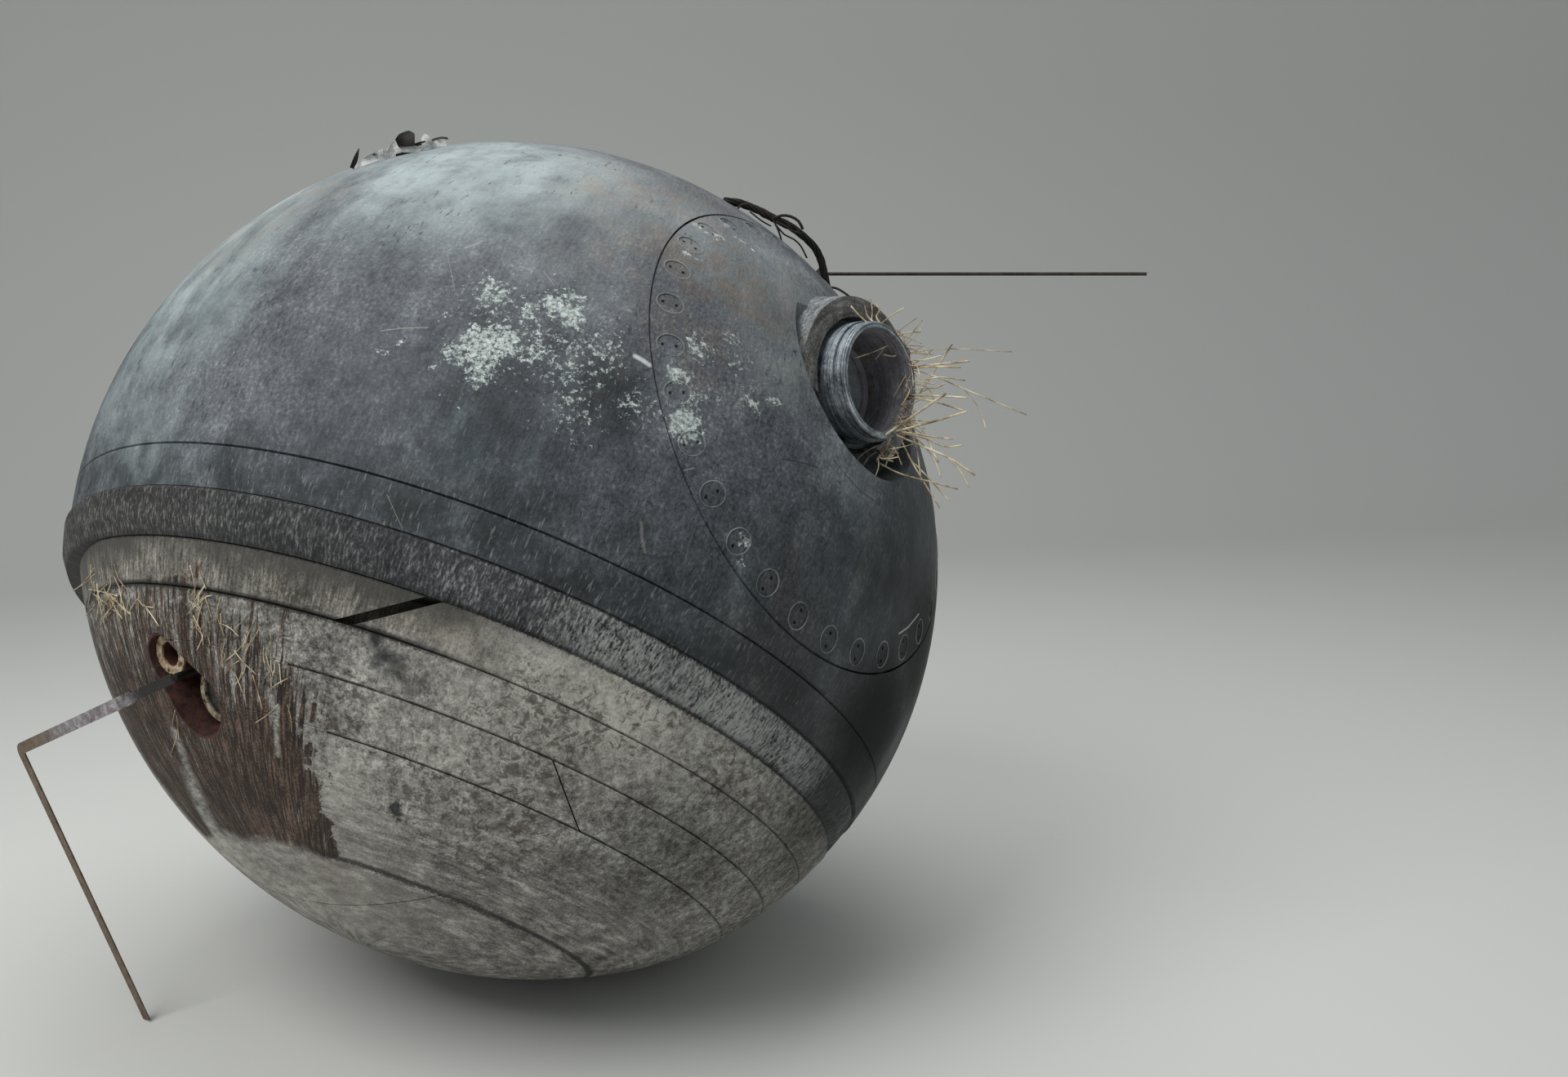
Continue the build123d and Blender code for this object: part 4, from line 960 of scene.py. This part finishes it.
# Torn insulation on the crown: top edge and lower edge in photo pixels, how dark, how thick
TORN_DEPTH = -0.224
TORN_SHEETS = (
    (((429, 206), (434, 192), (439, 181)), ((433, 207), (438, 196), (440, 182)), "dark", 0.004),
    (((434, 204), (444, 194), (457, 187), (469, 182), (477, 180)),
     ((436, 212), (446, 206), (460, 201), (470, 197), (478, 194)), "pale", 0.003),
    (((456, 189), (463, 184), (471, 181)), ((457, 191), (464, 187), (472, 183)), "dark", 0.003),
    (((475, 185), (480, 175), (488, 172), (494, 178)), ((477, 198), (482, 196), (486, 195), (490, 193)),
     "pale", 0.010),
    (((485, 173), (490, 165), (500, 160), (507, 163)), ((488, 180), (494, 180), (502, 180), (508, 179)),
     "dark", 0.030),
    (((489, 178), (500, 178), (510, 179), (518, 180)), ((491, 187), (500, 187), (508, 187), (514, 187)),
     "pale", 0.012),
    (((485, 189), (495, 187), (505, 186), (514, 186)), ((484, 197), (494, 196), (504, 195), (513, 193)),
     "dark", 0.006),
    (((506, 176), (514, 174), (523, 173)), ((507, 180), (515, 178), (524, 176)), "dark", 0.006),
    (((516, 170), (519, 164), (525, 167), (529, 172)), ((517, 182), (521, 181), (526, 180), (530, 180)),
     "pale", 0.006),
    (((524, 173), (532, 169), (540, 167), (548, 168)), ((526, 176), (533, 172), (541, 170), (549, 171)),
     "dark", 0.004),
    (((526, 175), (534, 172), (541, 171), (546, 173)), ((526, 186), (534, 185), (541, 184), (547, 183)),
     "pale", 0.004),
)
SHEET_STEPS = 13
SHEET_LEVELS = 6
CREASE_SCALE = 26.0
CREASE_REACH = 0.020


def circle(middle, side, other, radius, count, start=0.0):
    """Points on a circle, the first of them towards side where start is 0."""
    turns = [start + 2 * math.pi * step / count for step in range(count)]
    return [middle + (side * math.cos(turn) + other * math.sin(turn)) * radius for turn in turns]


def placed(name, data):
    """A new object in the scene."""
    thing = bpy.data.objects.new(name, data)
    bpy.context.scene.collection.objects.link(thing)
    return thing


class Shape:
    """Points and faces that are gathered into one piece."""

    def __init__(self):
        self.points = []
        self.faces = []

    def skin(self, low, high, sides):
        """Faces between two circles of points, given by the number of their first point."""
        for step in range(sides):
            following = (step + 1) % sides
            self.faces.append((low + step, low + following, high + following, high + step))

    def tube(self, path, radii, sides=6):
        """A closed tube along a path, with a radius for each of its points."""
        first = len(self.points)
        for (point, side, other), radius in zip(frames_along(path), radii):
            self.points += circle(point, side, other, radius, sides)
        last = first + (len(path) - 1) * sides
        for low in range(first, last, sides):
            self.skin(low, low + sides, sides)
        self.faces.append(tuple(first + sides - 1 - step for step in range(sides)))
        self.faces.append(tuple(last + step for step in range(sides)))

    def ring(self, path, radius, sides=6):
        """A closed tube through a loop of points."""
        first = len(self.points)
        count = len(path)
        middle = sum(path, Vector()) / count
        for index, point in enumerate(path):
            ahead = (path[(index + 1) % count] - path[index - 1]).normalized()
            side = (point - middle).normalized()
            side = (side - ahead * side.dot(ahead)).normalized()
            self.points += circle(point, side, ahead.cross(side), radius, sides)
            self.skin(first + index * sides, first + (index + 1) % count * sides, sides)

    def sheet(self, rows, thickness, across):
        """A thick sheet over rows of points, thickened along across."""
        first = len(self.points)
        width = len(rows[0])
        for sign in (-0.5, 0.5):
            for row in rows:
                self.points += [point + across * thickness * sign for point in row]
        layer = len(rows) * width
        for low in range(len(rows) - 1):
            for step in range(width - 1):
                corner = first + low * width + step
                face = (corner, corner + 1, corner + width + 1, corner + width)
                self.faces.append(face)
                self.faces.append(tuple(index + layer for index in reversed(face)))
        rim = [first + step for step in range(width)]
        rim += [first + low * width + width - 1 for low in range(1, len(rows))]
        rim += [first + layer - 1 - step for step in range(1, width)]
        rim += [first + low * width for low in range(len(rows) - 2, 0, -1)]
        for here, there in zip(rim, rim[1:] + rim[:1]):
            self.faces.append((there, here, here + layer, there + layer))

    def make(self, name, material, smooth=True):
        """The mesh object."""
        mesh = bpy.data.meshes.new(name)
        mesh.from_pydata([tuple(point) for point in self.points], [], self.faces)
        mesh.materials.append(material)
        for polygon in mesh.polygons:
            polygon.use_smooth = smooth
        return placed(name, mesh)

    def make_on(self, body, name, material, smooth=True):
        """The mesh object, riding on a body."""
        piece = self.make(name, material, smooth)
        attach(piece, body)
        return piece


def frames_along(path):
    """For each point of a path: the point, and two directions across the path that don't twist."""
    frames = []
    side = (path[1] - path[0]).orthogonal().normalized()
    for index, point in enumerate(path):
        ahead = (path[min(index + 1, len(path) - 1)] - path[max(index - 1, 0)]).normalized()
        side = (side - ahead * side.dot(ahead)).normalized()
        frames.append((point, side, ahead.cross(side)))
    return frames


def on_sheet_plane(x, y):
    """The point at a pixel of the photograph in the upright plane of the torn insulation."""
    ray = sight_line(x, y)
    return CAMERA_PLACE + ray * ((TORN_DEPTH - CAMERA_PLACE.y) / ray.y)


def smooth_line(corners, count):
    """Evenly spaced points on a smooth curve through corners."""
    points = []
    spans = len(corners) - 1
    for step in range(count):
        along = step / (count - 1) * spans
        span = min(int(along), spans - 1)
        part = along - span
        before = corners[max(span - 1, 0)]
        after = corners[min(span + 2, spans)]
        start, end = corners[span], corners[span + 1]
        points.append(0.5 * (
            2 * start + (end - before) * part
            + (2 * before - 5 * start + 4 * end - after) * part ** 2
            + (3 * start - before - 3 * end + after) * part ** 3
        ))
    return points


def pixel_line(pixels, start_depth, end_depth):
    """A smooth line through pixels, whose depth runs from start_depth to end_depth."""
    corners = []
    for index, (x, y) in enumerate(pixels):
        part = index / (len(pixels) - 1)
        corners.append(at_depth(x, y, start_depth + (end_depth - start_depth) * part))
    return smooth_line(corners, PIXEL_LINE_STEPS)


def pixel_tubes(rows, sides, shape):
    """Tubes through pixels, each (pixels, start depth, end depth, radius)."""
    for pixels, start_depth, end_depth, radius in rows:
        places = pixel_line(pixels, start_depth, end_depth)
        shape.tube(places, [radius] * len(places), sides)
    return shape


def bundle_path():
    """The points that Blender makes of the bundle's route."""
    data = bpy.data.curves.new("bundle_route", "CURVE")
    data.dimensions = "3D"
    data.resolution_u = 8
    spline = data.splines.new("NURBS")
    spline.points.add(len(BUNDLE_ROUTE) - 1)
    for point, place in zip(spline.points, BUNDLE_ROUTE):
        point.co = (*place, 1.0)
    spline.order_u = 3
    spline.use_endpoint_u = True
    route = bpy.data.objects.new("bundle_route", data)
    path = [vertex.co.copy() for vertex in bpy.data.meshes.new_from_object(route).vertices]
    bpy.data.objects.remove(route)
    return path


def add_cable_bundle():
    """Twisted charred strands along the bundle's route, with the wires that hang out of it."""
    path = bundle_path()
    dice = random.Random(5)
    shape = Shape()
    for strand in range(STRAND_COUNT):
        phase = 2 * math.pi * strand / (STRAND_COUNT - 1) + dice.uniform(-0.2, 0.2)
        # The last strand runs up the middle
        reach = 0.0 if strand == STRAND_COUNT - 1 else BUNDLE_DIAMETER / 2 - STRAND_R
        places = []
        for index, (point, side, other) in enumerate(frames_along(path)):
            angle = phase + 2 * math.pi * STRAND_TURNS * index / len(path)
            wander = noise.noise(point * 30.0 + Vector((strand * 7.0, 0.0, 0.0)))
            places += circle(point, side, other, reach + STRAND_WANDER * wander, 1, angle)
        radii = [STRAND_R * (1.0 + 0.25 * noise.noise(place * 90.0)) for place in places]
        shape.tube(places, radii, STRAND_SIDES)
    bundle = shape.make_on("capsule", "bundle_strands", materials["charred_cable"])
    wires = pixel_tubes(FRAYED_WIRES, WIRE_SIDES, Shape())
    wires = wires.make_on("capsule", "bundle_wires", materials["charred_cable"])
    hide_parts("cable_bundle")


def add_torn_insulation():
    """Crumpled scraps of lining and foil that stand up from the crown."""
    across = Vector((0.0, 1.0, 0.0))
    shapes = {"dark": Shape(), "pale": Shape()}
    for index, (top, bottom, tone, thickness) in enumerate(TORN_SHEETS):
        upper = smooth_line([on_sheet_plane(x, y) for x, y in top], SHEET_STEPS)
        lower = smooth_line([on_sheet_plane(x, y) for x, y in bottom], SHEET_STEPS)
        seed = Vector((index * 3.0, 0.0, 0.0))
        rows = []
        for level in range(SHEET_LEVELS):
            part = level / (SHEET_LEVELS - 1)
            row = []
            for low, high in zip(lower, upper):
                point = low.lerp(high, part)
                crease = noise.noise(point * CREASE_SCALE + seed) * CREASE_REACH * (0.3 + part)
                row.append(point + across * crease + Vector((0.0, 0.0, 0.002 * crease)))
            rows.append(row)
        shapes[tone].sheet(rows, thickness, across)
    pale = shapes["pale"].make_on("capsule", "torn_sheets", materials["torn_lining"], smooth=False)
    dark = shapes["dark"].make_on("capsule", "torn_char", materials["charred_cable"], smooth=False)
    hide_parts("torn_insulation")


PLUG_RIM_RISE = 1.1492
PLUG_RIM_THICKNESS = 0.0019
PLUG_RIM_STEPS = 36


def add_plug_rims():
    """A low bead of char that closes the gap round each bolt plug of the two hatches."""
    for body, direction in (("front_hatch", FRONT), ("crew_hatch", CREW)):
        away, side = plug_frame(direction)
        shape = Shape()
        start = math.radians(PLUG_TURN)
        for middle in circle(Vector(), away, side, PLUG_CIRCLE_R, PLUG_COUNT, start):
            path = []
            for flat in circle(middle, away, side, PLUG_R, PLUG_RIM_STEPS):
                rise = math.sqrt(PLUG_RIM_RISE ** 2 - flat.length_squared)
                path.append(BALL_CENTRE + flat + direction * rise)
            shape.ring(path, PLUG_RIM_THICKNESS)
        rims = shape.make_on(body, body + "_plug_rims", materials["charred_shell"])


# Mud in the joints of the lower rings: the joint, and the photo pixels where the mud starts and ends
MUDDY_JOINTS = (
    (SEAM_E, (212, 782), (352, 809)),
    (SEAM_F, (273, 864), (400, 896)),
)
JOINT_MUD_R = 0.0034
JOINT_MUD_SUNK = 0.0024
JOINT_MUD_STEPS = 48
JOINT_MUD_SIDES = 10


def on_lower_rings(depth, turn, sunk):
    """The point under the lower rings' surface at a depth below the centre and a turn from the port."""
    across = PORT * math.cos(turn) + CROWN.cross(PORT) * math.sin(turn)
    axis = BALL_CENTRE - CROWN * depth
    return axis + across * min(far for near, far in crossings(axis, across, sunk))


def add_joint_mud():
    """Low beads of mud that close the joints of the lower rings beside the cable socket."""
    shape = Shape()
    for depth, *ends in MUDDY_JOINTS:
        turns = []
        for x, y in ends:
            offset = seen_at(x, y) - BALL_CENTRE
            turns.append(math.atan2(offset.dot(CROWN.cross(PORT)), offset.dot(PORT)))
        path = []
        for step in range(JOINT_MUD_STEPS):
            turn = turns[0] + (turns[1] - turns[0]) * step / (JOINT_MUD_STEPS - 1)
            path.append(on_lower_rings(depth, turn, JOINT_MUD_SUNK))
        radii = [JOINT_MUD_R * (1.0 + 0.2 * noise.noise(point * 40.0)) for point in path]
        shape.tube(path, radii, JOINT_MUD_SIDES)
    shape.make_on("capsule", "joint_mud", materials["worn_ablator"])


def straw():
    """Dry straw, from brown to pale yellow."""
    f = Finish("straw")
    f.colour = f.ramp(
        f.noise(24.0, 3.0, 0.6), (0.35, 124, 108, 84), (0.5, 186, 170, 138), (0.65, 226, 214, 184),
    )
    return f.done(0.7)


def add_port_straws(dice, material):
    """Straws caught in the port: the long ones as listed, and a tangle on its right rim."""
    shape = pixel_tubes(PORT_STRAWS, STRAW_SIDES, Shape())
    for _ in range(TANGLE_COUNT):
        start = dice.uniform(0.0, len(TANGLE_RIM) - 1.001)
        low = int(start)
        x, y = Vector(TANGLE_RIM[low]).lerp(Vector(TANGLE_RIM[low + 1]), start - low)
        heading = dice.gauss(*TANGLE_HEADING)
        reach = dice.uniform(*TANGLE_REACH)
        bend = dice.uniform(-TANGLE_BEND, TANGLE_BEND)
        middle = (x + math.cos(heading) * reach / 2 - bend, y + math.sin(heading) * reach / 2 + bend)
        end = (x + math.cos(heading) * reach, y + math.sin(heading) * reach)
        depth = TANGLE_DEPTH - TANGLE_LEAN * max(0.0, y - TANGLE_MIDDLE)
        places = pixel_line(((x - TANGLE_ROOT, y), middle, end), depth, depth + dice.uniform(*TANGLE_DRIFT))
        shape.tube(places, [dice.uniform(*TANGLE_R)] * len(places), STRAW_SIDES)
    shape.make_on("front_hatch", "port_straws", material)


def add_mud_straws(dice, material):
    """Short straws stuck in the mud of the worn side."""
    shape = Shape()
    for x, y, half_width, half_height, count in MUD_STRAWS:
        for _ in range(count):
            start_x = x + dice.uniform(-half_width, half_width)
            start_y = y + dice.uniform(-half_height, half_height)
            heading = dice.gauss(*MUD_STRAW_HEADING)
            reach = dice.uniform(*MUD_STRAW_REACH)
            corners = []
            for part in (0.0, 0.5, 1.0):
                here_x = start_x + math.cos(heading) * reach * part + dice.uniform(*MUD_STRAW_SHAKE)
                here_y = start_y + math.sin(heading) * reach * part + dice.uniform(*MUD_STRAW_SHAKE)
                point = seen_at(here_x, here_y)
                outward = (point - BALL_CENTRE).normalized()
                corners.append(point + outward * dice.uniform(*MUD_STRAW_LIFT))
            places = smooth_line(corners, MUD_STRAW_STEPS)
            shape.tube(places, [dice.uniform(*MUD_STRAW_R)] * len(places), STRAW_SIDES)
    shape.make_on("capsule", "mud_straws", material)


add_cable_bundle()
add_torn_insulation()
add_plug_rims()
add_joint_mud()
straw_material = straw()
straw_dice = random.Random(11)
add_port_straws(straw_dice, straw_material)
add_mud_straws(straw_dice, straw_material)


# The studio, in metres: the floor's half width, where it sweeps up, and the sweep's radius and top
FLOOR_HALF = 60.0
FLOOR_BACK = 7.0
SWEEP_R = 4.0
SWEEP_STEPS = 12
SWEEP_TOP = 14.0

# The soft square lamps: place, size in metres, power in watts, all pointing at the ball
LAMPS = {
    "key": ((-3.5, -3.5, 6.0), 4.0, 300.0),
    "top": ((0.5, 1.0, 6.5), 5.0, 165.0),
}
LAMP_TARGET = Vector((-0.1, 0.0, 1.1))
WORLD_COLOUR = (228, 234, 236)
WORLD_STRENGTH = 0.42


def add_stage():
    """A plain pale floor that sweeps up behind the object."""
    f = Finish("pale_floor")
    f.colour = srgb(214, 214, 210)
    profile = [(-FLOOR_HALF, 0.0), (FLOOR_BACK, 0.0)]
    for step in range(1, SWEEP_STEPS + 1):
        angle = math.pi / 2 * step / SWEEP_STEPS
        profile.append((FLOOR_BACK + SWEEP_R * math.sin(angle), SWEEP_R - SWEEP_R * math.cos(angle)))
    profile.append((FLOOR_BACK + SWEEP_R, SWEEP_TOP))
    shape = Shape()
    for x in (-FLOOR_HALF, FLOOR_HALF):
        shape.points += [(x, y, z) for y, z in profile]
    count = len(profile)
    for low in range(count - 1):
        shape.faces.append((low, low + 1, count + low + 1, count + low))
    shape.make("floor", f.done(0.9))


def add_lights():
    """A large soft key above and to the left, a weaker lamp above, and an even pale world."""
    for name, (place, size, power) in LAMPS.items():
        lamp = bpy.data.lights.new(name, "AREA")
        lamp.shape = "SQUARE"
        lamp.size = size
        lamp.energy = power
        holder = placed(name, lamp)
        holder.location = place
        holder.rotation_euler = (LAMP_TARGET - Vector(place)).to_track_quat("-Z", "Y").to_euler()
    world = bpy.data.worlds.new("studio")
    bpy.context.scene.world = world
    world.use_nodes = True
    background = world.node_tree.nodes["Background"]
    background.inputs["Color"].default_value = srgb(*WORLD_COLOUR)
    background.inputs["Strength"].default_value = WORLD_STRENGTH


def add_camera():
    """The photograph's camera."""
    data = bpy.data.cameras.new("camera")
    data.lens = CAMERA_LENS
    data.sensor_width = SENSOR_WIDTH
    data.sensor_fit = "HORIZONTAL"
    camera = placed("camera", data)
    axes = Matrix((CAMERA_RIGHT, -CAMERA_DOWN, -CAMERA_FORWARD)).transposed()
    camera.matrix_world = Matrix.Translation(CAMERA_PLACE) @ axes.to_4x4()
    bpy.context.scene.camera = camera


add_stage()
add_lights()
add_camera()
bpy.context.scene.view_settings.view_transform = "Standard"
